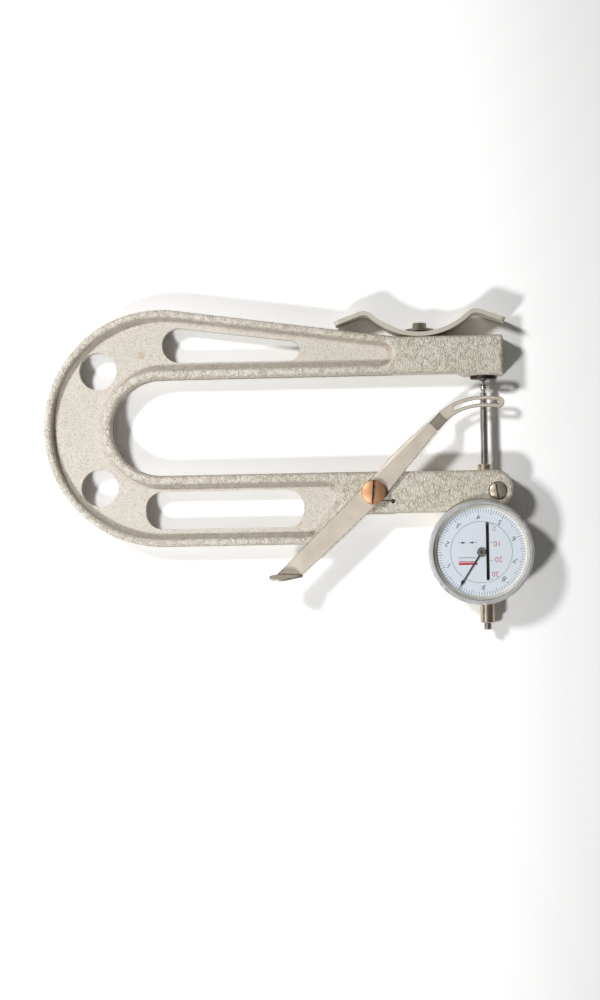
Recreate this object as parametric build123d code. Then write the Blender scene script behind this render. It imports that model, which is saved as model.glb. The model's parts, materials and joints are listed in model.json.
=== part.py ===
from build123d import *
import math
import os

# Deep-throat dial thickness gauge, lying on its back.
# Millimetres. X runs along the arms towards their free ends, Y is the measuring axis, Z points up.
# The origin is the centre of the dial gauge's back, on the surface that the gauge lies on.

os.makedirs("parts", exist_ok=True)

# Measuring movement
measuring_range = 30.0
lift_per_turn = 10.0
pinion_teeth = 16
wheel_teeth = 64
rod_radius = 2.1
rack_addendum = 0.2
rack_dedendum = 0.26
tooth_backlash = 0.1
running_gap = 0.05
seat_gap = 0.02
rack_pitch = lift_per_turn / pinion_teeth
pinion_radius = lift_per_turn / (2 * math.pi)
wheel_radius = pinion_radius * wheel_teeth / pinion_teeth
axis_x = pinion_radius + rod_radius - rack_addendum
axis_z = 9.0

# Frame casting
frame_thickness = 18.0
web_thickness = 6.0
throat_floor_y = 45.4
throat_gap = 54.4
throat_depth = 208.7
bow_width = 38.2
bow_radius = 66.3
upper_arm_depth = 20.6
upper_arm_overhang = 10.9
upper_arm_straight = 58.5
anvil_pad_drop = 1.8
anvil_pad_length = 26.0
lower_arm_depth = 23.2
lower_arm_bow_depth = 39.4
step_from_pivot = 18.4
step_run = 20.0
step_radius = 16.0
rim_width = 4.4
inner_rim_width = 5.2
pocket_root_fillet = 1.8
rim_fillet = 2.1
arm_corner_radius = 1.7
parting_ridge = 0.35
parting_height = 0.7
end_boss_radius = 10.6
end_boss_offset = 4.9
web_hole_radius = 10.5
web_hole_reach = 48.6
web_hole_angle = 137.4
upper_slot_length = 77.4
upper_slot_big_radius = 9.7
upper_slot_small_radius = 5.6
upper_slot_start = 67.1
upper_slot_big_drop = 19.0
upper_slot_small_drop = 14.7
lower_slot_length = 89.0
lower_slot_height = 21.2
lower_slot_start = 56.4
lower_slot_rise = 20.1
lower_slot_corner_radius = 9.4
pocket_end_gap = 3.0
pocket_step_gap = 0.5
pocket_step_run = 5.5
pocket_step_rise = 6.0

# Anvil, spindle and contact tip
anvil_disc_thickness = 1.7
anvil_radius = 7.3
anvil_shank_radius = 3.0
anvil_shank_length = 9.0
closing_gap = 0.03
tip_length = 9.0
tip_disc_radius = 2.35
tip_ball_radius = 2.05
tip_collar_radius = 1.9
tip_neck_radius = 0.95
spindle_tail = 43.7
tail_chamfer = 0.4

# Lift lever
lever_reach = 62.2
lift_pin_rise = 49.3
lift_pin_inset = 3.67
lever_swing = 27.5
lever_sheet = 1.2
lever_gap = 1.0
lever_upper_angle = 46.3
lever_lower_angle = 223.6
lever_pivot_half_width = 6.2
lever_fold_half_width = 3.2
lever_fold_reach = 48.6
lever_lip_start = 2.5
lever_lip_side = 4.75
lever_lip_width = 1.9
lever_lip_bend = 22.0
fold_notch_radius = 0.6
joggle_run = 8.0
joggle_gap = 0.9
loop_half_width = 3.1
lift_pin_radius = 1.0
lift_pin_clearance = 0.1
slot_overrun = 9.6
thumb_reach = 65.3
thumb_fold_half_length = 7.1
thumb_fold_angle = -3.6
thumb_length = 13.9
thumb_end_radius = 5.2
thumb_bend = 78.0

# Lever pivot and its return spring
pivot_head_radius = 6.75
pivot_head_height = 2.3
pivot_slot_turn = -4.7
pivot_shoulder_radius = 3.5
pivot_thread_radius = 2.4
pivot_thread_length = 9.0
pivot_recess_radius = 6.6
pivot_recess_depth = 4.0
spacer_radius = 4.4
spring_wire_radius = 0.35
spring_coil_radius = 4.95
spring_prong_radius = 6.2
spring_pitch = 1.2
spring_turns = 2
spring_leave_angle = 270.0
spring_sides = 8
spring_hole_radius = 1.2
spring_hole_reach = 10.6
spring_hole_drop = 5.3
spring_hole_depth = 3.0

# Screws
slot_width = 1.2
slot_depth = 0.9
clamp_screw_head_radius = 4.6
clamp_screw_head_height = 2.6
clamp_screw_radius = 2.0
clamp_screw_end_z = 3.5
clamp_slot_turn = 8.4
clamp_head_clearance = 1.3758
clamp_stem_clearance = 0.25
clamp_spot_depth = 1.0
clamp_slit = 1.0
screw_hole_gap = 0.05
foot_screw_radius = 2.5
foot_screw_head_radius = 3.9
foot_screw_head_height = 3.5
foot_screw_length = 14.0
foot_washer_radius = 7.9
foot_washer_thickness = 1.2

# Wave-bent foot bracket
foot_sheet = 2.4
foot_width = frame_thickness
foot_screw_from_end = 45.9
foot_trough_radius = 40.0
foot_flank_angle = 41.0
foot_crest_span = 30.0
foot_crest_radius = 6.0
foot_tip_angle = 20.0
foot_tip_length = 18.3
foot_corner_radius = 2.4

# Dial gauge body
case_radius = 26.5
case_wall = 3.3
case_upper_wall = 1.8
case_height = 19.4
case_ledge_z = 13.4
back_cover_inset = 1.9
back_cover_thickness = 1.4
back_ledge_width = 1.8
case_seat_gap = 0.5
stem_radius = 4.0
stem_top_y = 48.9
stem_inner_radius = 3.0
bush_length = 6.0
rear_cap_end = 39.9
rear_neck_radius = 3.6
cover_screw_count = 4
cover_screw_radius = 0.9
cover_screw_head_radius = 1.7
cover_screw_length = 4.0
cover_screw_inset = 3.6
cover_lug_radius = 3.2
cover_lug_height = 5.0

# Bezel, crystal and scales
bezel_overhang = 2.7
bezel_bevel = 1.1
bezel_bottom_z = 16.4
bezel_band_z = 21.4
bezel_top_z = 25.5
bezel_lip_width = 0.4
bezel_clearance = 0.3
bezel_bore_depth = 0.5
bezel_ledge_width = 1.8
bezel_ledge_thickness = 1.0
scale_z = 22.4
scale_thickness = 0.8
inner_dial_radius = 17.1
ring_gap = 0.05
crystal_thickness = 1.0
crystal_z = 24.0
gasket_thickness = 0.2
gasket_width = 0.35
crystal_ring_width = 1.8
bezel_spring_width = 1.0
bezel_spring_height = 1.1
snap_ring_width = 1.0
snap_ring_height = 0.9
snap_groove_depth = 0.55
snap_groove_height = 1.2
snap_z = 18.0

# Movement inside the case
plate_thickness = 1.5
bridge_z = 4.4
bridge_thickness = 1.2
bridge_width = 7.0
arbor_radius = 0.6
pinion_bottom_z = 6.5
pinion_top_z = 11.4
wheel_z = 7.1
wheel_thickness = 0.8
wheel_hub_radius = 1.3
hairspring_radius = 4.6
hairspring_height = 0.6
hairspring_z = 9.4
pillar_radius = 1.5
pillar_inset = 4.2
pillar_angles = (105.0, 180.0, 255.0)
pillar_screw_radius = 0.8
pillar_screw_head_radius = 1.4
pillar_screw_head_height = 0.8
dial_slot_width = 1.8
dial_slot_clearance = 0.75
cursor_y = 15.5
cursor_length = 1.4
guide_pin_radius = 0.5
guide_rail_width = 4.0
guide_rail_thickness = 1.3
guide_rail_end = 4.0
dial_pillar_radius = 1.2
dial_pillar_reach = 11.5
dial_pillar_angles = (130.0, 230.0)
return_spring_radius = 1.2
return_spring_x = 7.4
return_pin_y = 9.0
return_pin_radius = 0.5
return_post_inset = 3.2

# Pointer
pointer_rest_angle = 212.6
pointer_tip_inset = 2.1
pointer_half_width = 0.45
pointer_spade_half_width = 0.8
pointer_thickness = 0.25
pointer_hub_radius = 2.45
pointer_boss_radius = 1.3
pointer_z = 22.9
pointer_hub_height = 0.7

# Levels and places that follow from the sizes above
web_low_z = (frame_thickness - web_thickness) / 2
web_high_z = frame_thickness - web_low_z
throat_top_y = throat_floor_y + throat_gap
pad_y = throat_top_y - anvil_pad_drop
anvil_face_y = pad_y - anvil_disc_thickness
tip_base_y = anvil_face_y - closing_gap - tip_length
lift_pin_y = tip_base_y - lift_pin_inset
arm_end_x = axis_x + upper_arm_overhang
upper_outer_y = throat_top_y + upper_arm_depth
shoulder_x = arm_end_x - upper_arm_straight
lower_end_y = throat_floor_y - lower_arm_depth
lower_outer_y = throat_floor_y - lower_arm_bow_depth
throat_end_x = axis_x - throat_depth
bow_centre = Vector(throat_end_x - bow_width + bow_radius, lower_outer_y + bow_radius)
throat_mid_y = throat_floor_y + throat_gap / 2
pivot_x = axis_x - lever_reach
pivot_y = lift_pin_y - lift_pin_rise
boss_centre = Vector(axis_x + end_boss_offset, throat_floor_y - end_boss_radius)
clamp_x = axis_x + stem_radius + clamp_screw_radius + clamp_stem_clearance
lever_low_z = axis_z + rod_radius + joggle_gap
lever_high_z = frame_thickness + lever_gap
lever_top_z = lever_high_z + lever_sheet
case_bore_radius = case_radius - case_wall
case_upper_radius = case_radius - case_upper_wall
back_cover_radius = case_radius - back_cover_inset
cover_screw_reach = back_cover_radius - cover_screw_inset
bezel_radius = case_radius + bezel_overhang
clamp_reach = bezel_radius + clamp_screw_head_radius + clamp_head_clearance
clamp_y = math.sqrt(clamp_reach**2 - clamp_x**2)
bezel_top_radius = bezel_radius - bezel_bevel
bezel_bore_radius = case_radius + bezel_bore_depth
bezel_lip_radius = bezel_bore_radius - bezel_lip_width
bezel_ledge_radius = bezel_bore_radius - bezel_ledge_width
pillar_reach = case_bore_radius - pillar_inset
return_post_y = case_bore_radius - return_post_inset
pointer_length = case_radius - pointer_tip_inset
rear_y = -rear_cap_end
plate_top_z = case_ledge_z + plate_thickness
foot_x = arm_end_x - foot_screw_from_end
wheel_x = -(pinion_radius + wheel_radius)


def polar(radius, angle):
    return Vector(radius * math.cos(math.radians(angle)), radius * math.sin(math.radians(angle)))


def cylinder(radius, bottom, top, x=0.0, y=0.0):
    return Pos(x, y, bottom) * Cylinder(radius, top - bottom, align=(Align.CENTER, Align.CENTER, Align.MIN))


def ring(outer, inner, bottom, top, x=0.0, y=0.0):
    return cylinder(outer, bottom, top, x, y) - cylinder(inner, bottom - 1, top + 1, x, y)


def rod_along_y(radius, start, end, x, z):
    turned = Pos(x, start, z) * Rot(-90, 0, 0)
    return turned * Cylinder(radius, end - start, align=(Align.CENTER, Align.CENTER, Align.MIN))


def turned_on_axis(profile, x, z):
    """A piece turned about the measuring axis, from points of radius and Y."""
    face = make_face(Polyline(*profile, close=True))
    return Pos(x, 0, z) * revolve(face, Axis.Y)


def tangent_angle(point, centre, radius):
    """Angle at which a line from a point touches a circle, on the circle's left side."""
    away = point - centre
    base = math.degrees(math.atan2(away.Y, away.X))
    return base + math.degrees(math.acos(radius / away.length))


def slotted_head(radius, bottom, height, x, y, angle, chamfer_size=0.3):
    head = cylinder(radius, bottom, bottom + height, x, y)
    head = chamfer(head.edges().group_by(Axis.Z)[-1], chamfer_size)
    slot = Pos(x, y, bottom + height) * Rot(0, 0, angle) * Box(slot_width, 3 * radius, 2 * slot_depth)
    return head - slot


def save(node, shape):
    solids = shape.solids()
    body = solids[0] if len(solids) == 1 else Compound(children=list(solids))
    body.label = node
    export_step(body, "parts/" + node + ".step")


# Frame casting

def throat_end(grow):
    """The round end of the throat, from the lower arm to the upper one, moved out by grow."""
    middle = Vector(throat_end_x + throat_gap / 2, throat_mid_y)
    arc = CenterArc(middle, throat_gap / 2 + grow, 270, -180)
    return arc, Vector(middle.X, throat_floor_y - grow), Vector(middle.X, throat_top_y + grow)


def bow_arc(inset):
    """The outer round of the bow and the direction in which the upper arm leaves it."""
    turn = tangent_angle(Vector(shoulder_x, upper_outer_y), bow_centre, bow_radius)
    return CenterArc(bow_centre, bow_radius - inset, turn, 270 - turn), turn


def frame_outline():
    throat, throat_low, throat_high = throat_end(0)
    bow, turn = bow_arc(0)
    top = FilletPolyline(
        Vector(arm_end_x, pad_y),
        Vector(arm_end_x, upper_outer_y),
        Vector(shoulder_x, upper_outer_y),
        bow @ 0,
        radius=[arm_corner_radius, 4 * step_radius],
    )
    step_x = pivot_x - step_from_pivot
    under = FilletPolyline(
        bow @ 1,
        Vector(step_x - step_run / 2, lower_outer_y),
        Vector(step_x + step_run / 2, lower_end_y),
        Vector(boss_centre.X, lower_end_y),
        radius=[step_radius, step_radius],
    )
    end = Polyline(
        Vector(boss_centre.X, lower_end_y),
        Vector(boss_centre.X, throat_floor_y),
        throat_low,
    )
    pad_x = arm_end_x - anvil_pad_length
    pad = FilletPolyline(
        throat_high,
        Vector(pad_x, throat_top_y),
        Vector(pad_x + 2.5 * anvil_pad_drop, pad_y),
        Vector(arm_end_x, pad_y),
        radius=[anvil_pad_drop, 2 * anvil_pad_drop],
    )
    face = make_face([top, bow, under, end, throat, pad])
    boss = Pos(boss_centre.X, boss_centre.Y) * Circle(end_boss_radius)
    return (face + boss) - Circle(case_radius + case_seat_gap)


def pocket_outline():
    """The sunk web between the rims, on one side of the casting."""
    throat, throat_low, throat_high = throat_end(inner_rim_width)
    bow, turn = bow_arc(rim_width)
    start = bow @ 0
    slope = math.tan(math.radians(turn - 90))
    end_x = shoulder_x - pocket_end_gap
    end_top = Vector(end_x, start.Y + (end_x - start.X) * slope)
    upper_end = FilletPolyline(
        start,
        end_top,
        Vector(end_x, throat_top_y + inner_rim_width),
        throat_high,
        radius=[0.46 * (end_top.Y - throat_high.Y), 0.46 * (end_top.Y - throat_high.Y)],
    )
    floor_y = lower_outer_y + rim_width
    step_x = pivot_x - step_from_pivot
    lower_end = FilletPolyline(
        bow @ 1,
        Vector(step_x - step_run / 2 - pocket_step_run, floor_y),
        Vector(step_x - pocket_step_gap, lower_end_y + pocket_step_rise),
        Vector(step_x - pocket_step_gap, throat_low.Y),
        throat_low,
        radius=[step_radius / 3, step_radius / 3, step_radius / 2],
    )
    return make_face([upper_end, bow, lower_end, throat])


def web_openings():
    cut = Sketch()
    for side in (1, -1):
        centre = bow_centre + polar(web_hole_reach, side * web_hole_angle)
        cut += Pos(centre.X, centre.Y) * Circle(web_hole_radius)
    upper_left_x = throat_end_x - bow_width + upper_slot_start + upper_slot_big_radius
    upper_right_x = upper_left_x - upper_slot_big_radius + upper_slot_length - upper_slot_small_radius
    big = Pos(upper_left_x, throat_top_y + upper_slot_big_drop) * Circle(upper_slot_big_radius)
    small = Pos(upper_right_x, throat_top_y + upper_slot_small_drop) * Circle(upper_slot_small_radius)
    cut += make_hull((big + small).edges())
    lower_mid_x = throat_end_x - bow_width + lower_slot_start + lower_slot_length / 2
    lower = Pos(lower_mid_x, lower_outer_y + lower_slot_rise) * RectangleRounded(
        lower_slot_length, lower_slot_height, lower_slot_corner_radius
    )
    return cut + lower


def edges_at(body, *levels):
    return body.edges().filter_by(lambda e: min(abs(e.center().Z - level) for level in levels) < 0.01)


def parting_line():
    """The ridge that the mould's parting leaves round the bow and along both arms."""
    plan = offset(frame_outline(), parting_ridge)
    left_x = throat_end_x - bow_width - 1
    right_x = shoulder_x - pocket_end_gap
    plan &= Pos((left_x + right_x) / 2, throat_mid_y) * Rectangle(right_x - left_x, 3 * bow_radius)
    return Pos(0, 0, (frame_thickness - parting_height) / 2) * extrude(plan, parting_height)


def c_frame():
    body = extrude(frame_outline(), frame_thickness)
    pocket = pocket_outline()
    upper_pocket = Pos(0, 0, web_high_z) * extrude(pocket, web_low_z + 1)
    lower_pocket = Pos(0, 0, -1) * extrude(pocket, web_low_z + 1)
    body -= upper_pocket
    body -= lower_pocket
    body = fillet(edges_at(body, 0, frame_thickness), rim_fillet)
    body = fillet(edges_at(body, web_low_z, web_high_z), pocket_root_fillet)
    body += parting_line()
    body -= extrude(web_openings(), frame_thickness)
    body -= rod_along_y(stem_radius + seat_gap, 0, throat_floor_y + 1, axis_x, axis_z)
    above = frame_thickness + 1
    slit = Box(3 * end_boss_radius, 4 * end_boss_radius, clamp_slit)
    body -= Pos(axis_x + 1.5 * end_boss_radius, boss_centre.Y, axis_z) * slit
    body -= cylinder(bezel_radius + bezel_clearance, bezel_bottom_z - bezel_clearance, above)
    body -= cylinder(clamp_screw_radius + screw_hole_gap, clamp_screw_end_z - 0.5, above, clamp_x, clamp_y)
    spot_z = frame_thickness - clamp_spot_depth
    body -= cylinder(clamp_screw_head_radius + 0.4, spot_z, above, clamp_x, clamp_y)
    recess_z = frame_thickness - pivot_recess_depth
    body -= cylinder(pivot_recess_radius, recess_z, above, pivot_x, pivot_y)
    thread_z = recess_z - pivot_thread_length
    body -= cylinder(pivot_thread_radius + screw_hole_gap, thread_z - 0.5, frame_thickness, pivot_x, pivot_y)
    hole_x = pivot_x + spring_hole_reach
    hole_y = pivot_y - spring_hole_drop
    body -= cylinder(spring_hole_radius, frame_thickness - spring_hole_depth, above, hole_x, hole_y)
    shank_end_y = pad_y + anvil_shank_length + 0.5
    body -= rod_along_y(anvil_shank_radius + seat_gap, pad_y - 1, shank_end_y, axis_x, axis_z)
    screw_end_y = upper_outer_y - foot_screw_length + foot_sheet
    hole_top = upper_outer_y + foot_sheet
    body -= rod_along_y(foot_screw_radius + screw_hole_gap, screw_end_y, hole_top, foot_x, axis_z)
    return body


save("c_frame", c_frame())


# Anvil, spindle and what the spindle carries

def anvil():
    profile = [
        (0, anvil_face_y),
        (anvil_radius - 0.3, anvil_face_y),
        (anvil_radius, anvil_face_y + 0.3),
        (anvil_radius, pad_y),
        (anvil_shank_radius, pad_y),
        (anvil_shank_radius, pad_y + anvil_shank_length),
        (0, pad_y + anvil_shank_length),
    ]
    return turned_on_axis(profile, axis_x, axis_z)


def rack_comb():
    """What is cut away between the rack's teeth, drawn with a gap on the dial's centre line."""
    tip_x = axis_x - rod_radius
    root_x = pinion_radius + rack_dedendum
    slope = math.tan(math.radians(20))
    gap_half = rack_pitch / 4 + tooth_backlash / 2
    tip_half = gap_half + rack_addendum * slope
    root_half = gap_half - rack_dedendum * slope
    first = -3
    last = math.ceil((measuring_range + 2) / rack_pitch)
    points = [(tip_x - 1, first * rack_pitch - tip_half)]
    for number in range(first, last + 1):
        middle = number * rack_pitch
        points += [
            (tip_x, middle - tip_half),
            (root_x, middle - root_half),
            (root_x, middle + root_half),
            (tip_x, middle + tip_half),
        ]
    points.append((tip_x - 1, last * rack_pitch + tip_half))
    return make_face(Polyline(*points, close=True))


def spindle():
    rod = rod_along_y(rod_radius, -spindle_tail, tip_base_y, axis_x, axis_z)
    rod = chamfer(rod.edges().group_by(Axis.Y)[0], tail_chamfer)
    rod -= Pos(0, 0, axis_z - rod_radius) * extrude(rack_comb(), 2 * rod_radius)
    rod -= cylinder(lift_pin_radius + seat_gap, axis_z, axis_z + 2 * rod_radius, axis_x, lift_pin_y)
    rod -= cylinder(guide_pin_radius + seat_gap, axis_z, axis_z + 2 * rod_radius, axis_x, cursor_y)
    hole = Pos(axis_x, return_pin_y, axis_z) * Rot(0, 90, 0) * Cylinder(
        return_pin_radius + seat_gap, 2 * rod_radius, align=(Align.CENTER, Align.CENTER, Align.MIN)
    )
    return rod - hole


def contact_tip():
    top = tip_base_y + tip_length
    ball_y = tip_base_y + 0.46 * tip_length
    ball_half = math.sqrt(tip_ball_radius**2 - tip_neck_radius**2)
    collar = 0.12 * tip_length
    disc = 0.11 * tip_length
    lower = Polyline(
        (0, tip_base_y),
        (tip_collar_radius, tip_base_y),
        (tip_collar_radius, tip_base_y + collar),
        (tip_neck_radius, tip_base_y + 1.3 * collar),
        (tip_neck_radius, ball_y - ball_half),
    )
    ball = ThreePointArc(
        (tip_neck_radius, ball_y - ball_half),
        (tip_ball_radius, ball_y),
        (tip_neck_radius, ball_y + ball_half),
    )
    upper = Polyline(
        (tip_neck_radius, ball_y + ball_half),
        (tip_neck_radius, top - disc),
        (tip_disc_radius, top - disc),
        (tip_disc_radius, top),
        (0, top),
        (0, tip_base_y),
    )
    return Pos(axis_x, 0, axis_z) * revolve(make_face([lower, ball, upper]), Axis.Y)


def lift_pin():
    top = lever_low_z + lever_sheet + 0.8
    pin = cylinder(lift_pin_radius, axis_z, top, axis_x, lift_pin_y)
    return fillet(pin.edges().group_by(Axis.Z)[-1], 0.4)


def mm_cursor():
    bottom = scale_z - scale_thickness
    height = scale_thickness - running_gap
    width = dial_slot_width - 8 * running_gap
    return Pos(axis_x, cursor_y, bottom + height / 2) * Box(width, cursor_length, height)


def return_pin():
    reach = return_spring_x + 0.6 - axis_x
    return Pos(axis_x, return_pin_y, axis_z) * Rot(0, 90, 0) * Cylinder(
        return_pin_radius, reach, align=(Align.CENTER, Align.CENTER, Align.MIN)
    )


save("anvil", anvil())
save("spindle", spindle())
save("contact_tip", contact_tip())
save("lift_pin", lift_pin())
save("guide_pin", cylinder(guide_pin_radius, axis_z, scale_z - scale_thickness, axis_x, cursor_y))
save("mm_cursor", mm_cursor())
save("return_pin", return_pin())


# Lift lever, drawn round its pivot

def slot_point(turn, side=0.0):
    """Where the lift pin sits in the lever when the lever has turned by turn radians."""
    drop_rate = measuring_range / math.radians(lever_swing)
    rise = lift_pin_rise - drop_rate * turn
    along = Vector(rise, drop_rate - lever_reach)
    normal = Vector(-along.Y, along.X) / along.length
    spot = Vector(lever_reach, rise) + normal * side
    return spot.rotate(Axis.Z, math.degrees(turn))


def slot_band(half_width, start, end, round_start):
    """A band along the slot's line, with a round outer end and, if asked, a round inner end."""
    turns = [start + (end - start) * step / 8 for step in range(9)]
    high = Spline(*[slot_point(turn, half_width) for turn in turns])
    low = Spline(*[slot_point(turn, -half_width) for turn in turns])
    outer_tip = slot_point(start) + (slot_point(start) - slot_point(start + 0.01)).normalized() * half_width
    inner_tip = slot_point(end) + (slot_point(end) - slot_point(end - 0.01)).normalized() * half_width
    outer = ThreePointArc(high @ 0, outer_tip, low @ 0)
    inner = ThreePointArc(high @ 1, inner_tip, low @ 1) if round_start else Line(high @ 1, low @ 1)
    return make_face([high, low, outer, inner])


def lip_start():
    """Where the bend line of the stiffening lip begins, under the pivot screw's head."""
    return polar(lever_lip_start, lever_upper_angle) + polar(lever_lip_side, lever_upper_angle + 90)


def lever_outline():
    upper = polar(1, lever_upper_angle)
    across = polar(1, lever_upper_angle + 90)
    lower = polar(1, lever_lower_angle)
    fold = upper * lever_fold_reach
    joggle_end = upper * (lever_fold_reach + joggle_run)
    thumb = lower * thumb_reach
    along_fold = polar(thumb_fold_half_length, thumb_fold_angle)
    swing = math.radians(lever_swing)
    outer_turn = -slot_overrun / (measuring_range / swing)
    strip = make_face(Polyline(
        across * lever_pivot_half_width,
        thumb - along_fold,
        thumb + along_fold,
        across * -lever_pivot_half_width,
        fold - across * lever_fold_half_width,
        fold + across * lever_fold_half_width,
        lip_start(),
        close=True,
    ))
    inner_high = slot_point(swing, -loop_half_width)
    inner_low = slot_point(swing, loop_half_width)
    outside = inner_high if inner_high.Y > inner_low.Y else inner_low
    inside = inner_low if inner_high.Y > inner_low.Y else inner_high
    ahead = (slot_point(swing - 0.01) - slot_point(swing)).normalized()
    high = Spline(joggle_end + across * lever_fold_half_width, outside, tangents=[upper, ahead])
    low = Spline(joggle_end - across * lever_fold_half_width, inside, tangents=[upper, ahead])
    neck = make_face([
        Line(fold - across * lever_fold_half_width, fold + across * lever_fold_half_width),
        Line(fold + across * lever_fold_half_width, high @ 0),
        high,
        Line(high @ 1, low @ 1),
        low,
        Line(low @ 0, fold - across * lever_fold_half_width),
    ])
    return strip + neck + slot_band(loop_half_width, outer_turn, swing, False)


def lever_sheet_profile():
    """The joggled sheet seen from its edge: distance along the lever and height."""
    drop = lever_high_z - lever_low_z
    miter = lever_sheet * math.tan(math.atan2(drop, joggle_run) / 2)
    first = lever_fold_reach
    second = lever_fold_reach + joggle_run
    return make_face(Polyline(
        (-2 * thumb_reach, lever_high_z),
        (first, lever_high_z),
        (second, lever_low_z),
        (3 * lever_reach, lever_low_z),
        (3 * lever_reach, lever_low_z + lever_sheet),
        (second + miter, lever_low_z + lever_sheet),
        (first + miter, lever_top_z),
        (-2 * thumb_reach, lever_top_z),
        close=True,
    ))


def thumb_tab():
    """The thumb tab, bent up about its fold line at the lever's tail."""
    centre = polar(thumb_reach, lever_lower_angle)
    along = polar(1, thumb_fold_angle)
    fold = Plane(origin=(centre.X, centre.Y, lever_top_z), x_dir=along, z_dir=(0, 0, 1))
    strip_angle = lever_lower_angle - thumb_fold_angle
    reach = thumb_length - thumb_end_radius
    tip = polar(reach, strip_angle)
    side = polar(thumb_end_radius, strip_angle + 90)
    flat = make_face(Polyline(
        (-thumb_fold_half_length, 0),
        tip - side,
        tip + side,
        (thumb_fold_half_length, 0),
        close=True,
    ))
    flat += Pos(tip.X, tip.Y) * Circle(thumb_end_radius)
    tab = fold * Rot(-thumb_bend, 0, 0) * extrude(flat, -lever_sheet)
    section = Plane(origin=fold.origin, x_dir=along, z_dir=(-along.Y, along.X, 0))
    end_face = section * Pos(0, lever_sheet / 2) * Rectangle(2 * thumb_fold_half_length, lever_sheet)
    bend = revolve(end_face, Axis(fold.origin, along), -thumb_bend)
    return tab + bend


def stiffening_lip():
    """The long edge of the lever's upper part, bowed out and bent down."""
    start = lip_start()
    corner = polar(lever_fold_reach, lever_upper_angle) + polar(lever_fold_half_width, lever_upper_angle + 90)
    length = (corner - start).length
    along = (corner - start).normalized()
    line = Plane(origin=(start.X, start.Y, lever_high_z), x_dir=along, z_dir=(0, 0, 1))
    edge = ThreePointArc((length, 0), (length / 2, lever_lip_width), (0, 0))
    flat = make_face([Line((0, 0), (length, 0)), edge])
    lip = line * Rot(-lever_lip_bend, 0, 0) * extrude(flat, lever_sheet)
    section = Plane(origin=line.origin, x_dir=along, z_dir=(-along.Y, along.X, 0))
    end_face = section * Pos(length / 2, -lever_sheet / 2) * Rectangle(length, lever_sheet)
    return lip + revolve(end_face, Axis(line.origin, along), -lever_lip_bend)


def lift_lever():
    along = polar(1, lever_upper_angle)
    edge_plane = Plane(origin=(0, 0, 0), x_dir=along, z_dir=(along.Y, -along.X, 0))
    sheet = edge_plane * extrude(lever_sheet_profile(), 3 * lever_reach, both=True)
    blank = extrude(lever_outline(), lever_top_z + 1)
    swing = math.radians(lever_swing)
    outer_turn = -slot_overrun / (measuring_range / swing)
    slot_half = lift_pin_radius + lift_pin_clearance
    slot = extrude(slot_band(slot_half, outer_turn + 0.01, swing + 0.01, True), lever_top_z + 1)
    body = (sheet & blank) + thumb_tab() + stiffening_lip()
    body -= slot
    notch = polar(lever_fold_reach, lever_upper_angle) - polar(lever_fold_half_width, lever_upper_angle + 90)
    body -= cylinder(fold_notch_radius, 0, lever_top_z + 1, notch.X, notch.Y)
    body -= cylinder(pivot_shoulder_radius + running_gap, 0, lever_top_z + 1)
    leg = polar(spring_prong_radius, lever_lower_angle)
    body -= cylinder(spring_wire_radius + running_gap, 0, lever_top_z + 1, leg.X, leg.Y)
    return Pos(pivot_x, pivot_y) * body


save("lift_lever", lift_lever())


# Lever pivot and return spring

def pivot_screw():
    recess_z = frame_thickness - pivot_recess_depth
    head_z = lever_top_z + running_gap
    head = slotted_head(pivot_head_radius, head_z, pivot_head_height, pivot_x, pivot_y, pivot_slot_turn)
    shoulder = cylinder(pivot_shoulder_radius, recess_z + seat_gap, head_z, pivot_x, pivot_y)
    thread_z = recess_z - pivot_thread_length
    thread = cylinder(pivot_thread_radius, thread_z, recess_z + seat_gap, pivot_x, pivot_y)
    return head + shoulder + thread


def pivot_spacer():
    bottom = frame_thickness - pivot_recess_depth
    top = lever_high_z - running_gap
    return ring(spacer_radius, pivot_shoulder_radius + running_gap, bottom, top, pivot_x, pivot_y)


def lever_spring():
    """Torsion spring: a prong up into the lever, two turns and a leg down into the arm's hole."""
    top_z = frame_thickness + spring_wire_radius + running_gap
    corner_radius = spring_coil_radius / math.cos(math.pi / spring_sides)
    step = 360 / spring_sides
    prong = polar(spring_prong_radius, lever_lower_angle)
    count = spring_turns * spring_sides
    leg_corner = spring_leave_angle - step / 2
    coil = []
    for number in range(count, -1, -1):
        spot = polar(corner_radius, leg_corner - number * step)
        coil.append(Vector(spot.X, spot.Y, top_z - spring_pitch * number / spring_sides))
    hole = Vector(spring_hole_reach, -spring_hole_drop)
    path_points = [Vector(prong.X, prong.Y, lever_top_z - running_gap)]
    path_points.append(Vector(prong.X, prong.Y, coil[0].Z - spring_wire_radius))
    path_points += coil
    path_points.append(Vector(hole.X, hole.Y, top_z))
    path_points.append(Vector(hole.X, hole.Y, frame_thickness - 0.8 * spring_hole_depth))
    radii = []
    for before, corner, after in zip(path_points, path_points[1:], path_points[2:]):
        arrive = corner - before
        leave = after - corner
        turn = math.radians(arrive.get_angle(leave))
        radii.append(0.45 * min(arrive.length, leave.length) / math.tan(turn / 2))
    radii = [min(radius, 1.05 * spring_coil_radius) for radius in radii]
    path = FilletPolyline(*path_points, radius=radii)
    spots = [path @ (number / 400) for number in range(401)]
    least = min(
        (one - other).length
        for index, one in enumerate(spots)
        for other in spots[index + 16:]
    )
    gap = least - 2 * spring_wire_radius
    print("lever spring: tightest bend", round(min(radii), 2), "least gap", round(gap, 2))
    section = Plane(origin=path @ 0, z_dir=path % 0) * Circle(spring_wire_radius)
    return Pos(pivot_x, pivot_y) * sweep(section, path=path)


save("lever_pivot_screw", pivot_screw())
save("pivot_spacer", pivot_spacer())
save("lever_spring", lever_spring())


# Foot bracket and the screws of the frame

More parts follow.
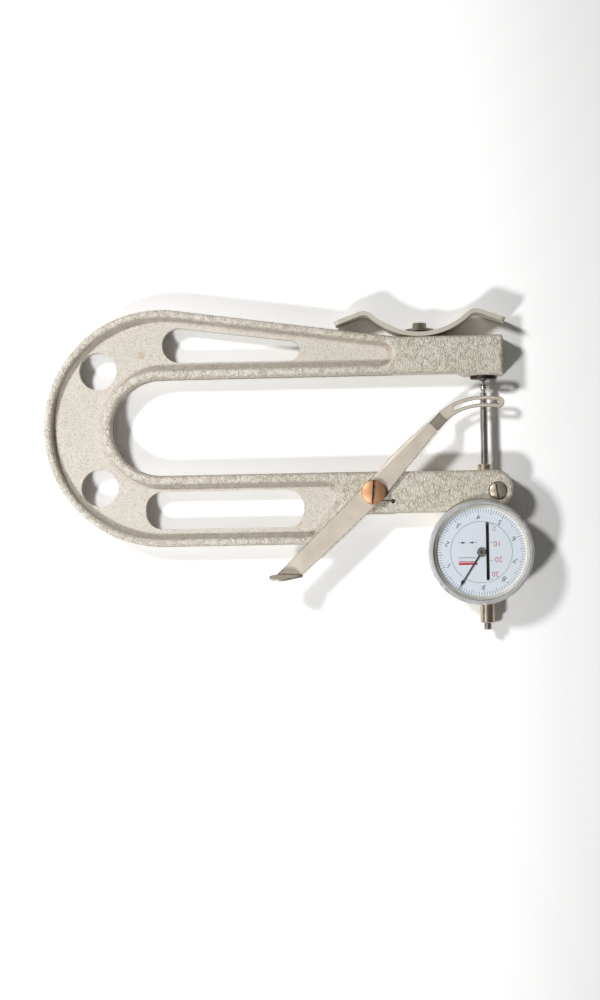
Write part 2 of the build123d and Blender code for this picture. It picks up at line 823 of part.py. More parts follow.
def foot_bracket():
    flank = math.radians(foot_flank_angle)
    tip = math.radians(foot_tip_angle)
    low_y = upper_outer_y + foot_sheet / 2
    vertex_y = low_y - foot_trough_radius * (1 / math.cos(flank) - 1)
    crest_y = vertex_y + foot_crest_span * math.tan(flank)
    tip_x = foot_crest_span + foot_tip_length * math.cos(tip)
    tip_y = crest_y - foot_tip_length * math.sin(tip)
    path = FilletPolyline(
        (foot_x - tip_x, tip_y),
        (foot_x - foot_crest_span, crest_y),
        (foot_x, vertex_y),
        (foot_x + foot_crest_span, crest_y),
        (foot_x + tip_x, tip_y),
        radius=[foot_crest_radius, foot_trough_radius, foot_crest_radius],
    )
    section = Plane(origin=path @ 0, x_dir=(0, 0, 1), z_dir=path % 0) * Rectangle(foot_width, foot_sheet)
    strip = Pos(0, 0, axis_z) * sweep(section, path=path)
    corners = strip.edges().filter_by(lambda e: abs(e.length - foot_sheet) < 0.01)
    strip = fillet(corners, foot_corner_radius)
    hole_top = upper_outer_y + 4 * foot_sheet
    return strip - rod_along_y(foot_screw_radius + 0.2, upper_outer_y - foot_sheet, hole_top, foot_x, axis_z)


def washer_seat_y():
    """The flat washer bridges the trough of the bracket."""
    inner = foot_trough_radius - foot_sheet / 2
    return upper_outer_y + foot_sheet + inner - math.sqrt(inner**2 - foot_washer_radius**2) + seat_gap


def foot_washer():
    seat = washer_seat_y()
    disc = rod_along_y(foot_washer_radius, seat, seat + foot_washer_thickness, foot_x, axis_z)
    top = seat + 2 * foot_washer_thickness
    return disc - rod_along_y(foot_screw_radius + 0.2, seat - foot_washer_thickness, top, foot_x, axis_z)


def foot_screw():
    seat = washer_seat_y() + foot_washer_thickness
    head = rod_along_y(foot_screw_head_radius, seat, seat + foot_screw_head_height, foot_x, axis_z)
    head = chamfer(head.edges().group_by(Axis.Y)[-1], 0.4)
    slot = Box(3 * foot_screw_head_radius, 2 * slot_depth, slot_width)
    head -= Pos(foot_x, seat + foot_screw_head_height, axis_z) * slot
    shank = rod_along_y(foot_screw_radius, seat - foot_screw_length, seat, foot_x, axis_z)
    return head + shank


def stem_clamp_screw():
    spot_z = frame_thickness - clamp_spot_depth
    height = clamp_screw_head_height
    head = slotted_head(clamp_screw_head_radius, spot_z, height, clamp_x, clamp_y, clamp_slot_turn)
    return head + cylinder(clamp_screw_radius, clamp_screw_end_z, spot_z, clamp_x, clamp_y)


save("foot_bracket", foot_bracket())
save("foot_washer", foot_washer())
save("foot_screw", foot_screw())
save("stem_clamp_screw", stem_clamp_screw())


# Dial gauge body

def turned_on_z(profile):
    face = make_face(Polyline(*[(radius, 0, height) for radius, height in profile], close=True))
    return revolve(face, Axis.Z)


def dial_case():
    ledge_radius = back_cover_radius - back_ledge_width
    groove = case_radius - snap_groove_depth
    groove_half = snap_groove_height / 2
    profile = [
        (back_cover_radius + 0.1, 0),
        (case_radius - 0.5, 0),
        (case_radius, 0.5),
        (case_radius, snap_z - groove_half),
        (groove, snap_z - groove_half),
        (groove, snap_z + groove_half),
        (case_radius, snap_z + groove_half),
        (case_radius, case_height),
        (case_upper_radius, case_height),
        (case_upper_radius, case_ledge_z),
        (case_bore_radius, case_ledge_z),
        (case_bore_radius, back_cover_thickness + back_ledge_width),
        (ledge_radius, back_cover_thickness + back_ledge_width),
        (ledge_radius, back_cover_thickness),
        (back_cover_radius + 0.1, back_cover_thickness),
    ]
    body = turned_on_z(profile)
    lug_top = back_cover_thickness + cover_lug_height
    for spot in cover_screw_spots():
        lug = cylinder(cover_lug_radius, back_cover_thickness, lug_top, spot.X, spot.Y)
        body += lug & cylinder(case_radius - 1, 0, case_height)
    hole_top = back_cover_thickness + cover_screw_length
    for spot in cover_screw_spots():
        body -= cylinder(cover_screw_radius + seat_gap, 0, hole_top, spot.X, spot.Y)
    body -= rod_along_y(stem_radius + seat_gap, 0, 2 * case_radius, axis_x, axis_z)
    body -= rod_along_y(rear_neck_radius + seat_gap, -2 * case_radius, 0, axis_x, axis_z)
    return body


def cover_screw_spots():
    step = 360 / cover_screw_count
    return [polar(cover_screw_reach, step * (number + 0.5)) for number in range(cover_screw_count)]


def cover_screw(spot):
    head_height = cover_screw_head_radius - cover_screw_radius
    head = Cone(cover_screw_head_radius, cover_screw_radius, head_height)
    top = back_cover_thickness + cover_screw_length - 0.3
    shank = cylinder(cover_screw_radius, head_height, top, spot.X, spot.Y)
    return Pos(spot.X, spot.Y, head_height / 2 + 0.05) * head + shank


def back_cover():
    cover = cylinder(back_cover_radius, 0, back_cover_thickness)
    for spot in cover_screw_spots():
        head_height = cover_screw_head_radius - cover_screw_radius
        sink = Cone(cover_screw_head_radius + 0.15, cover_screw_radius + 0.05, head_height + 0.1)
        cover -= Pos(spot.X, spot.Y, head_height / 2 + 0.05) * sink
        cover -= cylinder(cover_screw_radius + 0.1, 0, back_cover_thickness + 1, spot.X, spot.Y)
        cover -= cylinder(cover_screw_head_radius + 0.15, -1, 0.05, spot.X, spot.Y)
    return cover


def tube_along_y(outer, inner, start, end):
    bore = rod_along_y(inner, start - 1, end + 1, axis_x, axis_z)
    return rod_along_y(outer, start, end, axis_x, axis_z) - bore


def dial_stem():
    tube = tube_along_y(stem_radius, stem_inner_radius, case_bore_radius + 0.1, stem_top_y)
    return chamfer(tube.edges().group_by(Axis.Y)[-1].filter_by(lambda e: e.length > 6 * stem_radius), 0.5)


def rear_cap():
    tube = tube_along_y(stem_radius, stem_inner_radius, rear_y, -case_radius)
    tube = chamfer(tube.edges().group_by(Axis.Y)[0].filter_by(lambda e: e.length > 6 * stem_radius), 0.5)
    return tube + tube_along_y(rear_neck_radius, stem_inner_radius, -case_radius, -case_bore_radius - 0.1)


def bush(start, end):
    return tube_along_y(stem_inner_radius - seat_gap, rod_radius + running_gap, start, end)


save("dial_case", dial_case())
save("back_cover", back_cover())
save("back_cover_screws", Compound(children=[cover_screw(spot) for spot in cover_screw_spots()]))
save("dial_stem", dial_stem())
save("stem_bush", bush(stem_top_y - bush_length, stem_top_y))
save("inner_bush", bush(case_bore_radius + 0.1, case_bore_radius + 0.1 + bush_length))
save("rear_cap", rear_cap())
save("rear_bush", bush(rear_y, rear_y + bush_length))


# Bezel and what turns with it

def bezel():
    skirt = case_radius + 0.08
    ledge_top = scale_z - scale_thickness
    ledge_bottom = ledge_top - bezel_ledge_thickness
    groove_half = snap_groove_height / 2
    lip_z = crystal_z + crystal_thickness
    profile = [
        (skirt, bezel_bottom_z),
        (bezel_radius - 0.5, bezel_bottom_z),
        (bezel_radius, bezel_bottom_z + 0.5),
        (bezel_radius, bezel_band_z),
        (bezel_radius - 0.3, bezel_band_z + 0.5),
        (bezel_top_radius + 0.2, bezel_top_z - 0.9),
        (bezel_top_radius - 0.4, bezel_top_z),
        (bezel_lip_radius, bezel_top_z),
        (bezel_lip_radius, lip_z),
        (bezel_bore_radius, lip_z),
        (bezel_bore_radius, ledge_top),
        (bezel_ledge_radius, ledge_top),
        (bezel_ledge_radius, ledge_bottom),
        (skirt, ledge_bottom),
        (skirt, snap_z + groove_half),
        (skirt + snap_groove_depth, snap_z + groove_half),
        (skirt + snap_groove_depth, snap_z - groove_half),
        (skirt, snap_z - groove_half),
    ]
    return turned_on_z(profile)


def flat_ring(middle_radius, width, height, middle_z):
    outer = middle_radius + width / 2
    return ring(outer, outer - width, middle_z - height / 2, middle_z + height / 2)


ring_radius = bezel_bore_radius - 0.1
gasket_z = crystal_z - gasket_thickness
save("bezel", bezel())
save("graduated_ring", ring(ring_radius, inner_dial_radius + ring_gap, scale_z - scale_thickness, scale_z))
save("crystal_ring", ring(ring_radius, ring_radius - crystal_ring_width, scale_z, gasket_z))
save("crystal_gasket", ring(ring_radius, ring_radius - gasket_width, gasket_z, crystal_z))
save("crystal", cylinder(ring_radius, crystal_z, crystal_z + crystal_thickness))
spring_z = (case_height + scale_z - scale_thickness - bezel_ledge_thickness) / 2
spring_middle = case_radius - 0.9
save("bezel_spring", flat_ring(spring_middle, bezel_spring_width, bezel_spring_height, spring_z))
save("bezel_snap_ring", flat_ring(case_radius, snap_ring_width, snap_ring_height, snap_z))


# Movement

def gear(teeth, radius, thickness, phase):
    """A flat gear with straight-flanked teeth; phase is in teeth."""
    points = []
    root_half = rack_pitch / 4 + 0.015
    tip_half = 0.05
    for number in range(teeth):
        middle = (number + phase) * 360 / teeth
        inner = radius - rack_dedendum
        outer = radius + rack_addendum
        points += [
            polar(inner, middle - math.degrees(root_half / inner)),
            polar(outer, middle - math.degrees(tip_half / outer)),
            polar(outer, middle + math.degrees(tip_half / outer)),
            polar(inner, middle + math.degrees(root_half / inner)),
        ]
    return extrude(make_face(Polyline(*points, close=True)), thickness)


def centre_pinion():
    teeth = Pos(0, 0, pinion_bottom_z) * gear(pinion_teeth, pinion_radius, pinion_top_z - pinion_bottom_z, 0)
    return teeth + cylinder(arbor_radius, bridge_z + 0.2, pointer_z + pointer_hub_height)


def take_up_wheel():
    rim = Pos(wheel_x, 0, wheel_z) * gear(wheel_teeth, wheel_radius, wheel_thickness, 0.5)
    hub = cylinder(wheel_hub_radius, wheel_z, hairspring_z + hairspring_height, wheel_x)
    return rim + hub + cylinder(arbor_radius, bridge_z + 0.2, plate_top_z - 0.4, wheel_x)


def plate_slot(width, height):
    """The long slot in which the guide pin travels, through a plate of the given height."""
    length = measuring_range + 2 * dial_slot_clearance + width / 2
    middle = cursor_y - measuring_range / 2
    return Pos(axis_x, middle) * extrude(SlotOverall(length, width, rotation=90), height)


def pillar_spots():
    return [polar(pillar_reach, angle) for angle in pillar_angles]


def movement_plate():
    plate = cylinder(case_upper_radius - 0.1, case_ledge_z, plate_top_z)
    plate -= Pos(0, 0, case_ledge_z - 1) * plate_slot(2.2 * guide_pin_radius + 0.6, plate_thickness + 2)
    plate -= cylinder(arbor_radius + running_gap, 0, plate_top_z + 1)
    return plate - cylinder(arbor_radius + running_gap, 0, plate_top_z + 1, wheel_x)


def movement_bridge():
    top = bridge_z + bridge_thickness
    bridge = cylinder(bridge_width / 2, bridge_z, top)
    for spot in pillar_spots():
        arm = make_hull((Circle(bridge_width / 2) + Pos(spot.X, spot.Y) * Circle(bridge_width / 3)).edges())
        bridge += Pos(0, 0, bridge_z) * extrude(arm, bridge_thickness)
    for spot in pillar_spots():
        bridge -= cylinder(pillar_screw_radius + 0.1, bridge_z - 1, top + 1, spot.X, spot.Y)
    bridge -= cylinder(arbor_radius + running_gap, bridge_z - 1, top + 1)
    return bridge - cylinder(arbor_radius + running_gap, bridge_z - 1, top + 1, wheel_x)


def movement_pillars():
    bottom = bridge_z + bridge_thickness
    pillars = []
    for spot in pillar_spots():
        post = cylinder(pillar_radius, bottom, case_ledge_z, spot.X, spot.Y)
        hole = cylinder(pillar_screw_radius + seat_gap, bottom - 1, bottom + 3.2, spot.X, spot.Y)
        pillars.append(post - hole)
    return Compound(children=pillars)


def bridge_screws():
    bottom = bridge_z - pillar_screw_head_height
    screws = []
    for spot in pillar_spots():
        head = cylinder(pillar_screw_head_radius, bottom, bridge_z, spot.X, spot.Y)
        shank = cylinder(pillar_screw_radius, bridge_z, bridge_z + bridge_thickness + 3, spot.X, spot.Y)
        screws.append(head + shank)
    return Compound(children=screws)


def guide_rail():
    bottom = case_ledge_z - guide_rail_thickness
    length = measuring_range + 2 * guide_rail_end
    rail = Pos(axis_x, cursor_y - measuring_range / 2, bottom + guide_rail_thickness / 2) * Box(
        guide_rail_width, length, guide_rail_thickness
    )
    slot = plate_slot(2 * (guide_pin_radius + running_gap), guide_rail_thickness + 2)
    return rail - Pos(0, 0, bottom - 1) * slot


def inner_dial():
    disc = cylinder(inner_dial_radius, scale_z - scale_thickness, scale_z)
    disc -= Pos(0, 0, scale_z - 2 * scale_thickness) * plate_slot(dial_slot_width, 3 * scale_thickness)
    return disc - cylinder(arbor_radius + 0.2, scale_z - 2, scale_z + 1)


def dial_pillars():
    top = scale_z - scale_thickness
    spots = [polar(dial_pillar_reach, angle) for angle in dial_pillar_angles]
    posts = [cylinder(dial_pillar_radius, plate_top_z, top, spot.X, spot.Y) for spot in spots]
    return Compound(children=posts)


def pointer():
    start = pointer_hub_radius * 0.8
    spade = 0.8 * pointer_length
    blade = make_face(Polyline(
        (start, -pointer_half_width),
        (spade - 2.0, -0.85 * pointer_half_width),
        (spade, -pointer_spade_half_width),
        (spade + 2.0, -0.5 * pointer_half_width),
        (pointer_length, 0),
        (spade + 2.0, 0.5 * pointer_half_width),
        (spade, pointer_spade_half_width),
        (spade - 2.0, 0.85 * pointer_half_width),
        (start, pointer_half_width),
        close=True,
    ))
    blade = Rot(0, 0, 90 - pointer_rest_angle) * extrude(blade, pointer_thickness)
    hub = cylinder(pointer_hub_radius, 0, 2 * pointer_thickness)
    hub += cylinder(pointer_boss_radius, 0, pointer_hub_height)
    return Pos(0, 0, pointer_z) * (blade + hub - cylinder(arbor_radius + seat_gap, -1, 2))


def return_spring():
    start = return_pin_y + return_pin_radius
    end = return_post_y - return_pin_radius
    return rod_along_y(return_spring_radius, start, end, return_spring_x, axis_z)


hairspring_top = hairspring_z + hairspring_height
hairspring_bore = wheel_hub_radius + seat_gap
save("centre_pinion", centre_pinion())
save("take_up_wheel", take_up_wheel())
save("hairspring", ring(hairspring_radius, hairspring_bore, hairspring_z, hairspring_top, wheel_x))
save("movement_plate", movement_plate())
save("movement_bridge", movement_bridge())
save("movement_pillars", movement_pillars())
save("bridge_screws", bridge_screws())
save("guide_rail", guide_rail())
save("inner_dial", inner_dial())
save("dial_pillars", dial_pillars())
save("pointer", pointer())
save("return_spring", return_spring())
post_bottom = axis_z - return_spring_radius
save("return_post", cylinder(return_pin_radius, post_bottom, case_ledge_z, return_spring_x, return_post_y))
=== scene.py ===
import json
import math
import bpy
from mathutils import Matrix, Vector


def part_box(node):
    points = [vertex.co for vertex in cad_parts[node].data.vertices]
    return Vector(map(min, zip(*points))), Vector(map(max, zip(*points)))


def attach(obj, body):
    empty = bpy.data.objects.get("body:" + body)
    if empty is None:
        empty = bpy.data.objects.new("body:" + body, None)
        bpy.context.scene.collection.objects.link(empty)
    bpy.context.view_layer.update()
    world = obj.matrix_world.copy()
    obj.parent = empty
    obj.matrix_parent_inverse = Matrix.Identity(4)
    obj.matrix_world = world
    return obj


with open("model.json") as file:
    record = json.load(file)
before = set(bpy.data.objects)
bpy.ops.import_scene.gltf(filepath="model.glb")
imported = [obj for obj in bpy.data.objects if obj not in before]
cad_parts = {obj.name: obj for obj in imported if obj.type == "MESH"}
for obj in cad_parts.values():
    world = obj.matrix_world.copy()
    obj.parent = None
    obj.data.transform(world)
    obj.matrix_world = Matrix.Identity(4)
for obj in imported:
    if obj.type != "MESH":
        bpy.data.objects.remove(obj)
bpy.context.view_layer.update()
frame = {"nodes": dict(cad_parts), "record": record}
nodes = frame["nodes"]
mm = 0.001

# Where things are, read from the frame
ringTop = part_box("graduated_ring")[1].z
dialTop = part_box("inner_dial")[1].z
spindleLow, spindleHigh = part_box("spindle")
slotX = (spindleLow.x + spindleHigh.x) / 2


# Camera, lamps and floor

cameraPlace = {
    "aimAt": (-99.8 * mm, 30.64 * mm, 18 * mm),
    "distance": 982 * mm,
    "lean": 3.0,          # degrees towards the dial side
    "roll": -1.11,        # the gauge lies slightly turned in the picture
    "lens": 63.5,
    "sensor": 36.0,
}

lampTable = {
    "lampHigh": {"aim": 141, "rise": 50, "power": 5.3, "size": 0.14},
    "lampLow": {"aim": 228, "rise": 50, "power": 5.3, "size": 0.14},
}

roomLight = {
    "distance": 0.95,
    "middle": (-100 * mm, 40 * mm, 10 * mm),
    "ambient": 0.10,
    "ambientColor": (1.0, 0.985, 0.94),
    "seenBehind": 0.95,      # a pale backdrop to the camera, which gives no light
    "floorColor": (0.93, 0.932, 0.935),
    "floorSeen": (1.24, 1.24, 1.24),       # to the camera the white table is a little overexposed
    "floorFalloffShade": (1.08, 1.08, 1.08),      # and painted a little greyer on the dial's side, a painted shade for the lamps' falloff
    "falloffShadeFrom": -30 * mm,
    "falloffShadeTo": 90 * mm,
    "floorSize": 6.0,
}


def addNode(tree, kind, **settings):
    node = tree.nodes.new(kind)
    for key, value in settings.items():
        setattr(node, key, value)
    return node


def colorSocket(sockets, label):
    # the mix node has sockets of one name for each kind of value
    return [entry for entry in sockets if entry.name == label and entry.type == "RGBA"][0]


def blendColor(tree, mask, first, second):
    # first and second are colours or sockets that carry one
    node = addNode(tree, "ShaderNodeMix", data_type="RGBA")
    tree.links.new(mask, node.inputs["Factor"])
    for label, value in (("A", first), ("B", second)):
        socket = colorSocket(node.inputs, label)
        if isinstance(value, tuple):
            socket.default_value = (*value, 1)
        else:
            tree.links.new(value, socket)
    return colorSocket(node.outputs, "Result")


def mapRange(tree, source, low, high, toLow=0.0, toHigh=1.0, **settings):
    node = addNode(tree, "ShaderNodeMapRange", **settings)
    node.inputs["From Min"].default_value = low
    node.inputs["From Max"].default_value = high
    node.inputs["To Min"].default_value = toLow
    node.inputs["To Max"].default_value = toHigh
    tree.links.new(source, node.inputs["Value"])
    return node.outputs["Result"]


def calculate(tree, operation, first, second=None):
    # first and second are numbers or sockets that carry one
    node = addNode(tree, "ShaderNodeMath", operation=operation)
    for index, value in enumerate((first, second)):
        if isinstance(value, float):
            node.inputs[index].default_value = value
        elif value is not None:
            tree.links.new(value, node.inputs[index])
    return node.outputs["Value"]


def makeCamera():
    cameraData = bpy.data.cameras.new("camera")
    cameraData.lens = cameraPlace["lens"]
    cameraData.sensor_width = cameraPlace["sensor"]
    cameraData.sensor_fit = "AUTO"
    camera = bpy.data.objects.new("camera", cameraData)
    roll = Matrix.Rotation(math.radians(cameraPlace["roll"]), 4, "Z")
    turn = roll @ Matrix.Rotation(math.radians(cameraPlace["lean"]), 4, "Y")
    away = turn @ Vector((0, 0, cameraPlace["distance"]))
    camera.matrix_world = Matrix.Translation(Vector(cameraPlace["aimAt"]) + away) @ turn
    bpy.context.scene.collection.objects.link(camera)
    bpy.context.scene.camera = camera


def makeLamps():
    middle = Vector(roomLight["middle"])
    for name, values in lampTable.items():
        lampData = bpy.data.lights.new(name, "AREA")
        lampData.shape = "DISK"
        lampData.size = values["size"]
        lampData.energy = values["power"]
        lamp = bpy.data.objects.new(name, lampData)
        aim = math.radians(values["aim"])
        rise = math.radians(values["rise"])
        away = Vector((math.cos(aim) * math.cos(rise), math.sin(aim) * math.cos(rise), math.sin(rise)))
        lamp.location = middle + away * roomLight["distance"]
        lamp.rotation_euler = away.to_track_quat("Z", "Y").to_euler()
        bpy.context.scene.collection.objects.link(lamp)


def makeWorld():
    world = bpy.data.worlds.new("room")
    world.use_nodes = True
    tree = world.node_tree
    background = tree.nodes["Background"]
    background.inputs["Color"].default_value = (*roomLight["ambientColor"], 1)
    lightPath = addNode(tree, "ShaderNodeLightPath")
    strength = mapRange(tree, lightPath.outputs["Is Camera Ray"], 0.0, 1.0,
                        roomLight["ambient"], roomLight["seenBehind"])
    tree.links.new(strength, background.inputs["Strength"])
    bpy.context.scene.world = world


def makeFloor():
    bpy.ops.object.select_all(action="DESELECT")
    middle = (*roomLight["middle"][:2], 0)
    bpy.ops.mesh.primitive_plane_add(size=roomLight["floorSize"], location=middle)
    floor = bpy.context.object
    floor.name = "floor"
    paper = bpy.data.materials.new("floorPaper")
    paper.use_nodes = True
    tree = paper.node_tree
    tree.nodes.remove(tree.nodes["Principled BSDF"])
    matte = addNode(tree, "ShaderNodeBsdfDiffuse")
    lightPath = addNode(tree, "ShaderNodeLightPath")
    place = addNode(tree, "ShaderNodeSeparateXYZ")
    tree.links.new(addNode(tree, "ShaderNodeNewGeometry").outputs["Position"], place.inputs["Vector"])
    # painted shade: to the camera the floor darkens towards the dial's side, standing in for the lamps'
    # falloff
    falloffShade = mapRange(tree, place.outputs["X"], roomLight["falloffShadeFrom"], roomLight["falloffShadeTo"],
                     interpolation_type="SMOOTHSTEP")
    shown = blendColor(tree, falloffShade, roomLight["floorSeen"], roomLight["floorFalloffShade"])
    seen = blendColor(tree, lightPath.outputs["Is Camera Ray"], roomLight["floorColor"], shown)
    tree.links.new(seen, matte.inputs["Color"])
    tree.links.new(matte.outputs["BSDF"], tree.nodes["Material Output"].inputs["Surface"])
    floor.data.materials.append(paper)


makeCamera()
makeLamps()
makeWorld()
makeFloor()
bpy.context.scene.view_settings.view_transform = "Standard"
print("camera, lamps and floor are in place")


# Shader groups that several finishes share

def startGroup(name, inputs, outputs):
    group = bpy.data.node_groups.new(name, "ShaderNodeTree")
    for label, value in inputs.items():
        socket = group.interface.new_socket(name=label, in_out="INPUT", socket_type="NodeSocketFloat")
        socket.default_value = value
    for label in outputs:
        group.interface.new_socket(name=label, in_out="OUTPUT", socket_type="NodeSocketFloat")
    return group, addNode(group, "NodeGroupInput"), addNode(group, "NodeGroupOutput")


def objectPlace(group):
    return addNode(group, "ShaderNodeTexCoord").outputs["Object"]


def addNoise(tree, place, scale, detail=2.0):
    # place is a socket, scale is a number or a socket
    noise = addNode(tree, "ShaderNodeTexNoise")
    noise.inputs["Detail"].default_value = detail
    tree.links.new(place, noise.inputs["Vector"])
    if isinstance(scale, float):
        noise.inputs["Scale"].default_value = scale
    else:
        tree.links.new(scale, noise.inputs["Scale"])
    return noise.outputs["Fac"]


def makeMottle():
    # soft uneven patches, as of handling and age
    group, given, result = startGroup("mottle", {"Scale": 60.0, "Sharpness": 0.15}, ["Mask"])
    noise = addNoise(group, objectPlace(group), given.outputs["Scale"], detail=4.0)
    ramp = addNode(group, "ShaderNodeMapRange")
    group.links.new(noise, ramp.inputs["Value"])
    sharpness = given.outputs["Sharpness"]
    group.links.new(calculate(group, "SUBTRACT", 0.5, sharpness), ramp.inputs["From Min"])
    group.links.new(calculate(group, "ADD", 0.5, sharpness), ramp.inputs["From Max"])
    group.links.new(ramp.outputs["Result"], result.inputs["Mask"])
    return group


def turnedPlace(group, angle, alongY, alongZ=1.0):
    # the object's own place turned about Z, then squeezed along Y and Z
    turn = addNode(group, "ShaderNodeVectorRotate", rotation_type="Z_AXIS")
    group.links.new(objectPlace(group), turn.inputs["Vector"])
    if isinstance(angle, float):
        turn.inputs["Angle"].default_value = angle
    else:
        group.links.new(angle, turn.inputs["Angle"])
    squeeze = addNode(group, "ShaderNodeCombineXYZ")
    squeeze.inputs["X"].default_value = 1.0
    squeeze.inputs["Z"].default_value = alongZ
    group.links.new(alongY, squeeze.inputs["Y"])
    scaled = addNode(group, "ShaderNodeVectorMath", operation="MULTIPLY")
    group.links.new(turn.outputs["Vector"], scaled.inputs[0])
    group.links.new(squeeze.outputs["Vector"], scaled.inputs[1])
    return scaled.outputs["Vector"]


def makeGrain():
    # fine streaks of brushing, long in Y after the turn
    group, given, result = startGroup("grain", {"Fineness": 4000.0, "Stretch": 0.03, "Turn": 0.0},
                                      ["Mask"])
    place = turnedPlace(group, given.outputs["Turn"], given.outputs["Stretch"])
    noise = addNoise(group, place, given.outputs["Fineness"], detail=3.0)
    group.links.new(noise, result.inputs["Mask"])
    return group


def makeRings():
    # distance from an upright axis, and the rings that a lathe leaves round it
    group, given, result = startGroup("rings", {"AxisX": 0.0, "AxisY": 0.0, "Fineness": 3000.0},
                                      ["Reach", "Mask"])
    axis = addNode(group, "ShaderNodeCombineXYZ")
    group.links.new(given.outputs["AxisX"], axis.inputs["X"])
    group.links.new(given.outputs["AxisY"], axis.inputs["Y"])
    flat = addNode(group, "ShaderNodeVectorMath", operation="MULTIPLY")
    flat.inputs[1].default_value = (1, 1, 0)
    group.links.new(objectPlace(group), flat.inputs[0])
    away = addNode(group, "ShaderNodeVectorMath", operation="DISTANCE")
    group.links.new(flat.outputs["Vector"], away.inputs[0])
    group.links.new(axis.outputs["Vector"], away.inputs[1])
    noise = addNode(group, "ShaderNodeTexNoise", noise_dimensions="1D")
    noise.inputs["Detail"].default_value = 2.0
    group.links.new(away.outputs["Value"], noise.inputs["W"])
    group.links.new(given.outputs["Fineness"], noise.inputs["Scale"])
    group.links.new(away.outputs["Value"], result.inputs["Reach"])
    group.links.new(noise.outputs["Fac"], result.inputs["Mask"])
    return group


def breakUp(group, given, result, mask, low, high, least):
    # noise thins the mask in places, and Share weakens all of it
    noise = addNoise(group, objectPlace(group), given.outputs["Scale"])
    broken = mapRange(group, noise, low, high, least, 1.0)
    spotty = calculate(group, "MULTIPLY", mask, broken)
    shared = calculate(group, "MULTIPLY", spotty, given.outputs["Share"])
    group.links.new(shared, result.inputs["Mask"])


def makeCornerDirt():
    # dirt with painted shade: darker in grooves and inner corners, the more the room's light is shut out
    # there
    group, given, result = startGroup("cornerDirtAndShade", {"Reach": 4 * mm, "Share": 0.6, "Scale": 260.0},
                                      ["Mask"])
    hidden = addNode(group, "ShaderNodeAmbientOcclusion", samples=12, only_local=True)
    group.links.new(given.outputs["Reach"], hidden.inputs["Distance"])
    deep = mapRange(group, hidden.outputs["AO"], 0.86, 0.64)
    breakUp(group, given, result, deep, 0.3, 0.65, 0.35)
    return group


def makeEdgeWear():
    # a narrow line along outer edges, where paint rubs thin and sheet edges darken; on the frame it also
    # carries a painted highlight along the bow's edges
    group, given, result = startGroup("edgeWear", {"Reach": 0.4 * mm, "Share": 0.5, "Scale": 400.0},
                                      ["Mask"])
    rounded = addNode(group, "ShaderNodeBevel", samples=6)
    group.links.new(given.outputs["Reach"], rounded.inputs["Radius"])
    facing = addNode(group, "ShaderNodeNewGeometry")
    same = addNode(group, "ShaderNodeVectorMath", operation="DOT_PRODUCT")
    group.links.new(rounded.outputs["Normal"], same.inputs[0])
    group.links.new(facing.outputs["Normal"], same.inputs[1])
    edge = mapRange(group, same.outputs["Value"], 0.998, 0.93)
    breakUp(group, given, result, edge, 0.35, 0.6, 0.3)
    return group


def makeStipple():
    # the sandy specks of thin paint over rough casting
    group, given, result = startGroup("stipple", {"Scale": 1700.0}, ["Height", "Mask"])
    noise = addNoise(group, objectPlace(group), given.outputs["Scale"])
    group.links.new(noise, result.inputs["Height"])
    group.links.new(mapRange(group, noise, 0.47, 0.33), result.inputs["Mask"])
    return group


hammerValues = {
    "lean": math.radians(16),   # of the islands, across the arms
    "deep": 0.8,
    "wander": 420.0,            # scale of the noise that bends the seams
    "crumple": 1500.0,          # scale of the fine wrinkles
    "crumpleHeight": 2.2,       # beside the islands, which are 1 high
}


def makeHammer():
    # the raised leafy islands of hammer-finish paint, with thin lower seams between them, whose mask
    # carries painted shade
    group, given, result = startGroup("hammer", {"Scale": 700.0, "Warp": 1.0, "Long": 0.5},
                                      ["Height", "Seam"])
    squeezed = turnedPlace(group, hammerValues["lean"], given.outputs["Long"], hammerValues["deep"])
    wander = addNode(group, "ShaderNodeTexNoise")
    wander.inputs["Scale"].default_value = hammerValues["wander"]
    group.links.new(objectPlace(group), wander.inputs["Vector"])
    shift = addNode(group, "ShaderNodeVectorMath", operation="SCALE")
    group.links.new(wander.outputs["Color"], shift.inputs[0])
    warp = calculate(group, "DIVIDE", given.outputs["Warp"], given.outputs["Scale"])
    group.links.new(warp, shift.inputs["Scale"])
    moved = addNode(group, "ShaderNodeVectorMath", operation="ADD")
    group.links.new(squeezed, moved.inputs[0])
    group.links.new(shift.outputs["Vector"], moved.inputs[1])
    cells = addNode(group, "ShaderNodeTexVoronoi", feature="DISTANCE_TO_EDGE")
    group.links.new(moved.outputs["Vector"], cells.inputs["Vector"])
    group.links.new(given.outputs["Scale"], cells.inputs["Scale"])
    broken = mapRange(group, wander.outputs["Fac"], 0.4, 0.58, 0.25, 1.0)
    crumple = addNoise(group, moved.outputs["Vector"], hammerValues["crumple"])
    island = mapRange(group, cells.outputs["Distance"], 0.0, 0.45)
    raisedPaint = calculate(group, "MULTIPLY", island, broken)
    wrinkles = calculate(group, "MULTIPLY", crumple, hammerValues["crumpleHeight"])
    group.links.new(calculate(group, "ADD", raisedPaint, wrinkles), result.inputs["Height"])
    # the seams' mask, which the paint darkens as painted shade
    seamShade = mapRange(group, cells.outputs["Distance"], 0.2, 0.0)
    group.links.new(calculate(group, "MULTIPLY", seamShade, broken), result.inputs["Seam"])
    return group


mottleGroup = makeMottle()
grainGroup = makeGrain()
ringsGroup = makeRings()
cornerDirtAndShadeGroup = makeCornerDirt()
edgeWearGroup = makeEdgeWear()
stippleGroup = makeStipple()
hammerGroup = makeHammer()


def useGroup(tree, group, **values):
    node = addNode(tree, "ShaderNodeGroup", node_tree=group)
    for label, value in values.items():
        node.inputs[label].default_value = value
    return node


